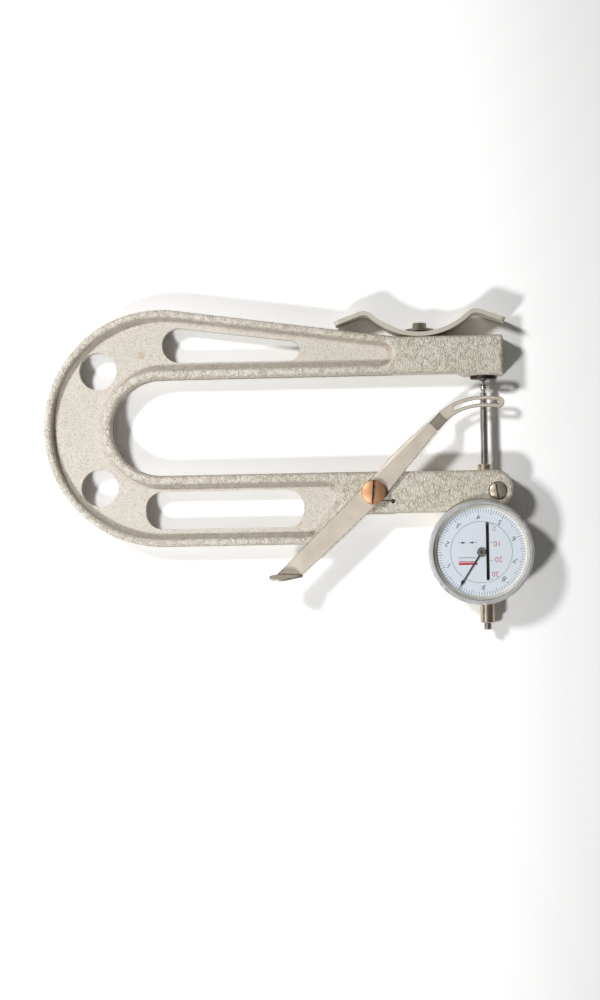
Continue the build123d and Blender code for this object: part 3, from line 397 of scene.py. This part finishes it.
def addBump(tree, shader, height, distance, strength=1.0):
    bump = addNode(tree, "ShaderNodeBump")
    bump.inputs["Distance"].default_value = distance
    bump.inputs["Strength"].default_value = strength
    tree.links.new(height, bump.inputs["Height"])
    tree.links.new(bump.outputs["Normal"], shader.inputs["Normal"])


def setRoughness(tree, shader, mask, low, high):
    # over the middle of a noise's range
    tree.links.new(mapRange(tree, mask, 0.3, 0.7, low, high), shader.inputs["Roughness"])


def startMaterial(name, metallic, roughness):
    material = bpy.data.materials.new(name)
    material.use_nodes = True
    shader = material.node_tree.nodes["Principled BSDF"]
    shader.inputs["Metallic"].default_value = metallic
    shader.inputs["Roughness"].default_value = roughness
    return material, material.node_tree, shader


# The paler bow colour and the pale worn edges are painted light; the dark colour is also painted shade in
# the hammer seams; the dirt colour is brown dirt with painted shade in the hollows.
paintValues = {
    "frame_paint": {
        "light": (0.79, 0.74, 0.64), "dark": (0.40, 0.35, 0.25), "web": (0.78, 0.73, 0.66),
        "bow": (0.84, 0.79, 0.71), "stain": (0.56, 0.44, 0.28), "stainShare": 0.5,
        "dirtAndShade": (0.24, 0.14, 0.06), "worn": (0.84, 0.79, 0.71), "armEdge": (0.30, 0.22, 0.13),
        "scale": 850.0, "webScale": 1150.0, "depth": 0.34 * mm,
        "seamShadeShare": 0.9, "speckShare": 0.65, "dirtAndShadeShare": 1.0, "wornShare": 0.4,
        "rough": 0.55,
    },
    "bracket_paint": {
        "light": (0.62, 0.58, 0.50), "dark": (0.44, 0.40, 0.31), "web": (0.62, 0.58, 0.50),
        "bow": (0.62, 0.58, 0.50), "stain": (0.56, 0.44, 0.28), "stainShare": 0.0,
        "dirtAndShade": (0.26, 0.22, 0.16), "worn": (0.50, 0.47, 0.41), "armEdge": (0.30, 0.22, 0.13),
        "scale": 900.0, "webScale": 900.0, "depth": 0.03 * mm,
        "seamShadeShare": 0.25, "speckShare": 0.2, "dirtAndShadeShare": 0.4, "wornShare": 0.4,
        "rough": 0.5,
    },
}
paintPlaces = {
    "middle": 9 * mm,                             # half the casting's thickness
    "webTo": 4.2 * mm, "rimFrom": 7.0 * mm,       # above and below that middle
    "armsFrom": -70 * mm, "bowTo": -130 * mm,     # along X, over which the bow's paint turns lighter as painted light
    "stainX": -187.8 * mm, "stainY": 113.8 * mm,
    "stainReach": 2.6 * mm, "stainCore": 1.82 * mm,
}
paintShares = {"patches": 0.14, "webLong": 0.8, "webIslands": 0.4, "webSpecks": 1.6}


def makeHammerPaint(name, values):
    # leafy on the arms and rims, finer and paler on the sunk web
    material, tree, shader = startMaterial(name, 0.12, values["rough"])
    place = addNode(tree, "ShaderNodeSeparateXYZ")
    tree.links.new(objectPlace(tree), place.inputs["Vector"])
    level = calculate(tree, "SUBTRACT", place.outputs["Z"], paintPlaces["middle"])
    away = calculate(tree, "ABSOLUTE", level)
    raised = mapRange(tree, away, paintPlaces["webTo"], paintPlaces["rimFrom"])
    # painted light: the paint and its edges turn lighter towards the bow, where the lamps are nearer
    bow = mapRange(tree, place.outputs["X"], paintPlaces["armsFrom"], paintPlaces["bowTo"])
    hammer = useGroup(tree, hammerGroup, Scale=values["scale"])
    webHammer = useGroup(tree, hammerGroup, Scale=values["webScale"], Long=paintShares["webLong"])
    stipple = useGroup(tree, stippleGroup)
    patches = useGroup(tree, mottleGroup, Scale=45.0, Sharpness=0.2)
    soilAndShade = useGroup(tree, cornerDirtAndShadeGroup, Share=values["dirtAndShadeShare"])
    rubbed = useGroup(tree, edgeWearGroup, Share=values["wornShare"])
    spot = useGroup(tree, ringsGroup, AxisX=paintPlaces["stainX"], AxisY=paintPlaces["stainY"])
    seamShade = calculate(tree, "MULTIPLY", hammer.outputs["Seam"], values["seamShadeShare"])
    specks = calculate(tree, "MULTIPLY", stipple.outputs["Mask"], values["speckShare"])
    faded = calculate(tree, "MULTIPLY", patches.outputs["Mask"], paintShares["patches"])
    stained = mapRange(tree, spot.outputs["Reach"], paintPlaces["stainReach"], paintPlaces["stainCore"],
                       0.0, values["stainShare"])
    # painted light: the top paint is paler on the bow
    topPaint = blendColor(tree, bow, values["light"], values["bow"])
    # painted shade: the seams between the islands are painted dark
    onTop = blendColor(tree, seamShade, topPaint, values["dark"])
    onWeb = blendColor(tree, specks, values["web"], values["dark"])
    base = blendColor(tree, stained, blendColor(tree, raised, onWeb, onTop), values["stain"])
    aged = blendColor(tree, faded, base, values["dark"])
    # edges are painted pale round the bow, a painted highlight on the lamps' side, and darker brown along
    # the arms
    edge = blendColor(tree, bow, values["armEdge"], values["worn"])
    worn = blendColor(tree, rubbed.outputs["Mask"], aged, edge)
    # painted shade with brown dirt in the grooves and inner corners
    color = blendColor(tree, soilAndShade.outputs["Mask"], worn, values["dirtAndShade"])
    tree.links.new(color, shader.inputs["Base Color"])
    smoothest = values["rough"] * 0.9
    roughest = values["rough"] * 1.15
    rough = mapRange(tree, hammer.outputs["Seam"], 0.0, 1.0, smoothest, roughest)
    tree.links.new(rough, shader.inputs["Roughness"])
    webIslands = calculate(tree, "MULTIPLY", webHammer.outputs["Height"], paintShares["webIslands"])
    webSpecks = calculate(tree, "MULTIPLY", stipple.outputs["Height"], paintShares["webSpecks"])
    webRelief = calculate(tree, "ADD", webIslands, webSpecks)
    difference = calculate(tree, "SUBTRACT", hammer.outputs["Height"], webRelief)
    relief = calculate(tree, "ADD", webRelief, calculate(tree, "MULTIPLY", difference, raised))
    addBump(tree, shader, relief, values["depth"])
    return material


metalDefaults = {
    "rough": 0.35, "metallic": 1.0, "grainDepth": 0.01 * mm, "patchScale": 90.0,
    "turn": 0.0,          # of the brushed streaks
    "ringsAt": None,      # or the axis that lathe marks go round
    "edge": (0.18, 0.12, 0.08), "edgeShare": 0.35, "edgeReach": 0.3 * mm,
    # the near-black colour in corners is painted shade with some dirt
    "dirtAndShade": (0.03, 0.02, 0.015), "dirtAndShadeShare": 1.0, "dirtAndShadeReach": 1.5 * mm,
    "dome": 0.0,          # how far a turned head's face falls away at domeReach from its axis
}
domeReach = 10 * mm


def makeMetal(name, light, dark, **changes):
    values = {**metalDefaults, **changes}
    material, tree, shader = startMaterial(name, values["metallic"], values["rough"])
    patches = useGroup(tree, mottleGroup, Scale=values["patchScale"], Sharpness=0.18)
    if values["ringsAt"] is None:
        streaks = useGroup(tree, grainGroup, Turn=values["turn"])
    else:
        streaks = useGroup(tree, ringsGroup, AxisX=values["ringsAt"][0], AxisY=values["ringsAt"][1])
    soilAndShade = useGroup(tree, cornerDirtAndShadeGroup, Scale=500.0, Reach=values["dirtAndShadeReach"],
                    Share=values["dirtAndShadeShare"])
    rubbed = useGroup(tree, edgeWearGroup, Reach=values["edgeReach"], Share=values["edgeShare"])
    base = blendColor(tree, patches.outputs["Mask"], light, dark)
    edged = blendColor(tree, rubbed.outputs["Mask"], base, values["edge"])
    # near-black painted shade with some dirt in inner corners, where the metal also turns matt
    color = blendColor(tree, soilAndShade.outputs["Mask"], edged, values["dirtAndShade"])
    tree.links.new(color, shader.inputs["Base Color"])
    low = values["rough"] * 0.8
    high = min(1.0, values["rough"] * 1.3)
    streaked = mapRange(tree, streaks.outputs["Mask"], 0.3, 0.7, low, high)
    rough = calculate(tree, "MAXIMUM", streaked, soilAndShade.outputs["Mask"])
    tree.links.new(rough, shader.inputs["Roughness"])
    tree.links.new(mapRange(tree, soilAndShade.outputs["Mask"], 0.0, 0.6, values["metallic"], 0.0),
                   shader.inputs["Metallic"])
    relief = calculate(tree, "MULTIPLY", streaks.outputs["Mask"], values["grainDepth"])
    if values["dome"] > 0.0:
        away = calculate(tree, "POWER", streaks.outputs["Reach"], 2.0)
        fall = calculate(tree, "MULTIPLY", away, values["dome"] / domeReach ** 2)
        relief = calculate(tree, "SUBTRACT", relief, fall)
    addBump(tree, shader, relief, 1.0)
    return material


def makePlain(name, color, roughness, vary=0.06):
    material, tree, shader = startMaterial(name, 0.0, roughness)
    patches = useGroup(tree, mottleGroup, Scale=120.0, Sharpness=0.25)
    darker = tuple(part * (1 - vary) for part in color)
    tree.links.new(blendColor(tree, patches.outputs["Mask"], color, darker), shader.inputs["Base Color"])
    rough = mapRange(tree, patches.outputs["Mask"], 0.0, 1.0, roughness * 0.9, min(1.0, roughness * 1.1))
    tree.links.new(rough, shader.inputs["Roughness"])
    return material


bezelValues = {
    "pale": (0.76, 0.77, 0.79), "shade": (0.58, 0.58, 0.58),
    "worn": (0.22, 0.16, 0.11), "wornShare": 0.75,
    "wornFrom": 23 * mm, "wornTo": 29.5 * mm,          # along the diagonal
    "wornReach": 27.2 * mm, "wornFull": 28.0 * mm,     # out from the axis
    "dirtAndShade": (0.10, 0.08, 0.07), "dirtAndShadeShare": 0.7, "dirtAndShadeReach": 1.2 * mm,
    "edge": (0.30, 0.27, 0.26), "edgeShare": 0.6, "edgeReach": 0.9 * mm,
}


def makeBezelPlate():
    # worn brown in spots at the upper right and the lower left, where fingers turn it
    material, tree, shader = startMaterial("bezelPlate", 0.3, 0.42)
    patches = useGroup(tree, mottleGroup, Scale=110.0, Sharpness=0.2)
    spots = useGroup(tree, mottleGroup, Scale=330.0, Sharpness=0.06)
    lathe = useGroup(tree, ringsGroup, Fineness=2200.0)
    soilAndShade = useGroup(tree, cornerDirtAndShadeGroup, Reach=bezelValues["dirtAndShadeReach"], Share=bezelValues["dirtAndShadeShare"])
    rubbed = useGroup(tree, edgeWearGroup, Reach=bezelValues["edgeReach"], Share=bezelValues["edgeShare"])
    place = addNode(tree, "ShaderNodeSeparateXYZ")
    tree.links.new(objectPlace(tree), place.inputs["Vector"])
    both = calculate(tree, "ADD", place.outputs["X"], place.outputs["Y"])
    along = calculate(tree, "ABSOLUTE", calculate(tree, "MULTIPLY", both, math.sqrt(0.5)))
    side = mapRange(tree, along, bezelValues["wornFrom"], bezelValues["wornTo"])
    outside = mapRange(tree, lathe.outputs["Reach"], bezelValues["wornReach"], bezelValues["wornFull"])
    corner = calculate(tree, "MULTIPLY", side, outside)
    within = calculate(tree, "MULTIPLY", corner, bezelValues["wornShare"])
    wornMask = calculate(tree, "MULTIPLY", spots.outputs["Mask"], within)
    base = blendColor(tree, patches.outputs["Mask"], bezelValues["pale"], bezelValues["shade"])
    worn = blendColor(tree, wornMask, base, bezelValues["worn"])
    edged = blendColor(tree, rubbed.outputs["Mask"], worn, bezelValues["edge"])
    # painted shade with dirt in the bezel's inner corners
    color = blendColor(tree, soilAndShade.outputs["Mask"], edged, bezelValues["dirtAndShade"])
    tree.links.new(color, shader.inputs["Base Color"])
    setRoughness(tree, shader, lathe.outputs["Mask"], 0.34, 0.5)
    addBump(tree, shader, lathe.outputs["Mask"], 0.03 * mm, 0.6)
    return material


crystalRingValues = {
    "cream": (0.80, 0.77, 0.72), "gold": (0.62, 0.50, 0.32), "spotShare": 0.25,
    "goldWithin": 25.3 * mm, "creamFrom": 25.4 * mm,
}


def makeCrystalRing():
    # cream with a thin gold line along its inner edge
    material, tree, shader = startMaterial("crystalRing", 0.35, 0.45)
    lathe = useGroup(tree, ringsGroup)
    spots = useGroup(tree, mottleGroup, Scale=260.0, Sharpness=0.12)
    edge = mapRange(tree, lathe.outputs["Reach"], crystalRingValues["creamFrom"],
                    crystalRingValues["goldWithin"])
    spotted = calculate(tree, "MULTIPLY", spots.outputs["Mask"], crystalRingValues["spotShare"])
    gold = calculate(tree, "MAXIMUM", edge, spotted)
    color = blendColor(tree, gold, crystalRingValues["cream"], crystalRingValues["gold"])
    tree.links.new(color, shader.inputs["Base Color"])
    setRoughness(tree, shader, lathe.outputs["Mask"], 0.36, 0.55)
    addBump(tree, shader, lathe.outputs["Mask"], 0.02 * mm, 0.5)
    return material


pointerValues = {
    "black": (0.02, 0.02, 0.025),
    "washer": (0.26, 0.23, 0.20), "washerFrom": 1.25 * mm, "washerTo": 1.85 * mm,
    "boss": (0.10, 0.09, 0.08), "bossTo": 0.7 * mm,
    "fade": 0.1 * mm,
}


def makePointerPaint():
    # black, with a bare ring round the hub's boss
    material, tree, shader = startMaterial("pointerPaint", 0.0, 0.42)
    hub = useGroup(tree, ringsGroup)
    reach = hub.outputs["Reach"]
    start = pointerValues["washerFrom"]
    end = pointerValues["washerTo"]
    bossEnd = pointerValues["bossTo"]
    fade = pointerValues["fade"]
    rise = mapRange(tree, reach, start - fade, start)
    fall = mapRange(tree, reach, end + fade, end)
    washer = calculate(tree, "MULTIPLY", rise, fall)
    boss = mapRange(tree, reach, bossEnd + fade, bossEnd)
    ringed = blendColor(tree, washer, pointerValues["black"], pointerValues["washer"])
    tree.links.new(blendColor(tree, boss, ringed, pointerValues["boss"]), shader.inputs["Base Color"])
    setRoughness(tree, shader, hub.outputs["Mask"], 0.36, 0.5)
    return material


glassValues = {
    "tint": (0.97, 0.99, 1.0, 1),
    "passed": (0.96, 0.975, 1.0, 1),      # of the lamps' light under it
    "rough": 0.02,
    "bend": 1.45,
}


def makeCrystalGlass():
    # the lamps' light goes straight through, so the dial under it isn't in its shadow
    material, tree, shader = startMaterial("crystalGlass", 0.0, glassValues["rough"])
    shader.inputs["Base Color"].default_value = glassValues["tint"]
    shader.inputs["Transmission Weight"].default_value = 1.0
    shader.inputs["IOR"].default_value = glassValues["bend"]
    clear = addNode(tree, "ShaderNodeBsdfTransparent")
    clear.inputs["Color"].default_value = glassValues["passed"]
    rays = addNode(tree, "ShaderNodeLightPath").outputs
    passing = calculate(tree, "MAXIMUM", rays["Is Shadow Ray"], rays["Is Diffuse Ray"])
    mix = addNode(tree, "ShaderNodeMixShader")
    tree.links.new(passing, mix.inputs[0])
    tree.links.new(shader.outputs["BSDF"], mix.inputs[1])
    tree.links.new(clear.outputs["BSDF"], mix.inputs[2])
    tree.links.new(mix.outputs["Shader"], tree.nodes["Material Output"].inputs["Surface"])
    return material


def middleOf(node):
    low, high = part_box(node)
    return (low.x + high.x) / 2, (low.y + high.y) / 2


steelLight = (0.74, 0.68, 0.65)
steelDark = (0.50, 0.45, 0.42)
capLight = (0.86, 0.76, 0.63)
capDark = (0.60, 0.50, 0.39)
finishes = {
    "frame_paint": makeHammerPaint("hammerPaint", paintValues["frame_paint"]),
    "bracket_paint": makeHammerPaint("stripPaint", paintValues["bracket_paint"]),
    "lever_nickel": makeMetal("leverNickel", (0.73, 0.66, 0.56), (0.61, 0.54, 0.45), rough=0.55,
                              turn=math.radians(44), metallic=0.35, edgeShare=1.0, edgeReach=1.1 * mm,
                              edge=(0.10, 0.06, 0.04)),
    "pivot_copper": makeMetal("copperHead", (0.78, 0.44, 0.24), (0.60, 0.32, 0.17), rough=0.42,
                              ringsAt=middleOf("lever_pivot_screw"), edgeShare=0.9, edgeReach=0.9 * mm,
                              edge=(0.22, 0.09, 0.03), dome=2 * mm, metallic=0.8),
    "screw_nickel": makeMetal("screwNickel", (0.66, 0.58, 0.46), (0.42, 0.36, 0.28), rough=0.36,
                              ringsAt=middleOf("stem_clamp_screw"), edgeShare=0.5, dome=4 * mm,
                              metallic=0.7),
    "anvil_steel": makeMetal("anvilSteel", (0.10, 0.07, 0.06), (0.04, 0.03, 0.028), rough=0.5),
    "rod_steel": makeMetal("rodSteel", steelLight, steelDark, rough=0.26),
    "case_plate": makeMetal("casePlate", capLight, capDark, rough=0.3, ringsAt=(0.0, 0.0)),
    "cap_nickel": makeMetal("capNickel", capLight, capDark, rough=0.28),
    "bezel_plate": makeBezelPlate(),
    "brass": makeMetal("brass", (0.60, 0.45, 0.24), (0.46, 0.33, 0.16), rough=0.35),
    "spring_steel": makeMetal("springWire", steelLight, steelDark, rough=0.35),
    "dial_paint": makePlain("dialEnamel", (0.87, 0.89, 0.91), 0.5, vary=0.02),
    "crystal": makeCrystalGlass(),
    "gasket": makePlain("gasketRubber", (0.02, 0.02, 0.02), 0.8),
    "pointer_paint": makePointerPaint(),
}
ownFinishes = {
    "crystal_ring": makeCrystalRing(),
    "centre_pinion": makeMetal("arborSteel", (0.16, 0.14, 0.13), (0.10, 0.09, 0.08), rough=0.55),
}
inkColors = {
    "tickInk": (0.30, 0.36, 0.44),
    "digitInk": (0.06, 0.07, 0.09),
    "redInk": (0.62, 0.14, 0.16),
    "greyRed": (0.52, 0.40, 0.43),
    # grey of the painted shadow along the disc's edge
    "edgeShadowGrey": (0.38, 0.42, 0.46),
    "ruleRed": (0.56, 0.03, 0.07),
    "ruleDark": (0.40, 0.16, 0.17),
    "rulePink": (0.85, 0.50, 0.50),
}
inks = {name: makePlain(name, color, 0.6) for name, color in inkColors.items()}

for part in frame["record"]["subparts"]:
    mesh = nodes[part["node"]].data
    mesh.materials.clear()
    mesh.materials.append(ownFinishes.get(part["node"], finishes[part["material_slot"]]))
print("finishes are on")


# Print on the dial

dialPrint = {
    "lift": 0.01 * mm,           # ink stands this far above the enamel
    "ink": 0.02 * mm,
    "rounding": 0.006 * mm,
    "divisions": 100,
    "tickIn": 22.0 * mm,
    "tickOut": 24.3 * mm,
    "tickWidth": 0.34 * mm,
    "longEvery": 5,
    "longTickIn": 21.3 * mm,
    "longTickWidth": 0.42 * mm,
    "digits": 10,
    "digitReach": 19.3 * mm,
    "digitSize": 4.3 * mm,
    "zeroAngle": 212.6,          # clockwise from +Y
}


def turned(angle):
    # unit vector at an angle clockwise from +Y
    return Vector((math.sin(math.radians(angle)), math.cos(math.radians(angle)), 0))


def finishPiece(piece, body, ink):
    # place goes into the mesh and the object back to the origin
    piece.data.materials.clear()
    piece.data.materials.append(inks[ink])
    bpy.context.view_layer.update()
    piece.data.transform(piece.matrix_world)
    piece.matrix_world = Matrix.Identity(4)
    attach(piece, body)


def joinPieces(pieces, name):
    # a single piece only gets its name
    bpy.ops.object.select_all(action="DESELECT")
    for piece in pieces:
        piece.select_set(True)
    bpy.context.view_layer.objects.active = pieces[0]
    if len(pieces) > 1:
        bpy.ops.object.join()
    pieces[0].name = name
    pieces[0].data.name = name
    return pieces[0]


def roundEdges(piece):
    rounding = piece.modifiers.new("rounding", "BEVEL")
    rounding.width = dialPrint["rounding"]
    rounding.segments = 2
    bpy.ops.object.modifier_apply(modifier="rounding")


def inkBar(length, width):
    # one stroke of ink along Y, rounded at its edges
    bpy.ops.object.select_all(action="DESELECT")
    bpy.ops.mesh.primitive_cube_add(size=1)
    bar = bpy.context.object
    bar.scale = (width, length, dialPrint["ink"])
    bpy.ops.object.transform_apply(location=False, rotation=False, scale=True)
    roundEdges(bar)
    return bar


def inkHead(length, width):
    # an arrow's head that points along Y, from a triangle of height 1
    corner = 2 / 3
    side = 1.1547
    bpy.ops.object.select_all(action="DESELECT")
    bpy.ops.mesh.primitive_cylinder_add(vertices=3, radius=corner, depth=1)
    head = bpy.context.object
    head.scale = (width / side, length, dialPrint["ink"])
    bpy.ops.object.transform_apply(location=False, rotation=False, scale=True)
    roundEdges(head)
    return head


def inkArc(reach, width, start, end):
    # a thin line round the middle, from one angle clockwise to another
    bpy.ops.object.select_all(action="DESELECT")
    bpy.ops.curve.primitive_bezier_circle_add(radius=reach, rotation=(0, 0, math.radians(270 - start)))
    curve = bpy.context.object
    curve.data.resolution_u = 40
    curve.data.bevel_depth = width / 2
    curve.data.bevel_resolution = 1
    curve.data.bevel_factor_end = (end - start) / 360
    bpy.ops.object.convert(target="MESH")
    arc = bpy.context.object
    arc.scale = (1, 1, dialPrint["ink"] / width)
    bpy.ops.object.transform_apply(location=False, rotation=True, scale=True)
    return arc


def inkText(words, place, size, turn, level):
    # figures, as a mesh
    bpy.ops.object.select_all(action="DESELECT")
    bpy.ops.object.text_add(location=(place.x, place.y, level), rotation=(0, 0, -math.radians(turn)))
    text = bpy.context.object
    text.data.body = words
    text.data.size = size
    text.data.align_x = "CENTER"
    text.data.align_y = "CENTER"
    text.data.extrude = dialPrint["ink"] / 2
    text.data.resolution_u = 4
    bpy.ops.object.convert(target="MESH")
    return bpy.context.object


def spread(stroke, places, level):
    # the stroke goes to the first place and a copy of it to each of the others
    pieces = [stroke]
    while len(pieces) < len(places):
        piece = stroke.copy()
        piece.data = stroke.data.copy()
        bpy.context.scene.collection.objects.link(piece)
        pieces.append(piece)
    for piece, (middle, turn) in zip(pieces, places):
        piece.location = (middle.x, middle.y, level + dialPrint["ink"] / 2)
        piece.rotation_euler = (0, 0, -math.radians(turn))
    return pieces


def ringPlaces(inner, outer, numbers):
    angles = [dialPrint["zeroAngle"] + number * 360 / dialPrint["divisions"] for number in numbers]
    return [(turned(angle) * (inner + outer) / 2, angle) for angle in angles]


def printRing():
    level = ringTop + dialPrint["lift"]
    outer = dialPrint["tickOut"]
    longIn = dialPrint["longTickIn"]
    shortIn = dialPrint["tickIn"]
    divisions = range(dialPrint["divisions"])
    longOnes = [number for number in divisions if number % dialPrint["longEvery"] == 0]
    shortOnes = [number for number in divisions if number not in longOnes]
    longTick = inkBar(outer - longIn, dialPrint["longTickWidth"])
    shortTick = inkBar(outer - shortIn, dialPrint["tickWidth"])
    ticks = spread(longTick, ringPlaces(longIn, outer, longOnes), level)
    ticks += spread(shortTick, ringPlaces(shortIn, outer, shortOnes), level)
    finishPiece(joinPieces(ticks, "scale_ticks"), "bezel", "tickInk")
    digits = []
    zeroAngle = dialPrint["zeroAngle"]
    for number in range(dialPrint["digits"]):
        place = turned(zeroAngle + number * 360 / dialPrint["digits"]) * dialPrint["digitReach"]
        digits.append(inkText(str(number), place, dialPrint["digitSize"], zeroAngle, level))
    finishPiece(joinPieces(digits, "scale_figures"), "bezel", "digitInk")


printRing()


# Print on the fixed disc: the millimetre scale beside the slot, two arrows and four rules, and a thin
# grey arc that is a painted shadow along the disc's edge

discPrint = {
    # single lengths are in metres, and places in brackets in millimetres
    "ticks": (15.36, 5.34, -4.72, -14.9),
    "tickStart": 1.25 * mm,
    "tickEnd": 3.1 * mm,
    "tickWidth": 0.3 * mm,
    "figures": (("10", 5.3, 4.6), ("20", 5.85, -4.1), ("30", 4.0, -12.1)),
    "zeroFigure": (3.7, 12.9),
    "figureSize": 4.2 * mm,
    "figureTurn": 180,
    "arrowHeight": 5.3,          # also in millimetres
    "arrowWidth": 0.24 * mm,
    "headWidth": 1.35 * mm,
    "rightArrow": {"line": (-12.2, -10.5), "head": (-10.8, -8.4)},
    "leftArrow": {"line": (-4.6, -2.4), "head": (-4.5, -6.8)},
    "greyRule": (-13.0, -3.2, -3.0, 0.45),      # left, right, height, width
    "pinkRule": (-12.7, -3.0, -5.8, 1.9),
    "darkRule": (-12.5, -4.0, -5.05, 0.35),
    "redRule": (-12.5, -2.3, -6.4, 1.15),
    "arcReach": 16.9 * mm,
    "arcWidth": 0.25 * mm,
    "arcFrom": 165,
    "arcTo": 375,
}


def discPoint(x, y):
    return Vector((x * mm, y * mm, 0))


def levelBar(left, right, height, width):
    # a bar across, and where it goes
    places = [(discPoint((left + right) / 2, height), 90)]
    return inkBar(abs(right - left) * mm, width), places


def printArrow(values, level):
    height = discPrint["arrowHeight"]
    base, tip = values["head"]
    line, linePlaces = levelBar(*values["line"], height, discPrint["arrowWidth"])
    head = inkHead(abs(tip - base) * mm, discPrint["headWidth"])
    turn = 90 if tip > base else 270
    middle = discPoint((2 * base + tip) / 3, height)
    return spread(line, linePlaces, level) + spread(head, [(middle, turn)], level)


def printRule(name, level, ink):
    left, right, height, width = discPrint[name]
    rule, places = levelBar(left, right, height, width * mm)
    finishPiece(joinPieces(spread(rule, places, level), name), "frame", ink)


def discFigure(words, x, y, level):
    # x counts from the slot
    place = discPoint(slotX / mm + x, y)
    return inkText(words, place, discPrint["figureSize"], discPrint["figureTurn"], level)


def printDisc():
    level = dialTop + dialPrint["lift"]
    upper = level + dialPrint["ink"]
    start = discPrint["tickStart"]
    end = discPrint["tickEnd"]
    tick = inkBar(end - start, discPrint["tickWidth"])
    tickX = slotX + (start + end) / 2
    places = [(Vector((tickX, height * mm, 0)), 90) for height in discPrint["ticks"]]
    ticks = joinPieces(spread(tick, places, level), "slot_scale_ticks")
    finishPiece(ticks, "frame", "tickInk")
    arrows = printArrow(discPrint["rightArrow"], level) + printArrow(discPrint["leftArrow"], level)
    finishPiece(joinPieces(arrows, "disc_arrows"), "frame", "digitInk")
    # painted shadow: a thin grey arc along the left half of the disc's edge
    arc = inkArc(discPrint["arcReach"], discPrint["arcWidth"], discPrint["arcFrom"], discPrint["arcTo"])
    arc.location = (0, 0, level + dialPrint["ink"] / 2)
    finishPiece(joinPieces([arc], "disc_edge_shadow"), "frame", "edgeShadowGrey")
    printRule("greyRule", level, "tickInk")
    printRule("pinkRule", level, "rulePink")
    printRule("darkRule", upper, "ruleDark")
    printRule("redRule", upper, "ruleRed")
    reds = [discFigure(words, x, y, level) for words, x, y in discPrint["figures"]]
    finishPiece(joinPieces(reds, "slot_scale_figures"), "frame", "redInk")
    zero = joinPieces([discFigure("0", *discPrint["zeroFigure"], level)], "slot_scale_zero")
    finishPiece(zero, "frame", "greyRed")


printDisc()
print("dial is printed")
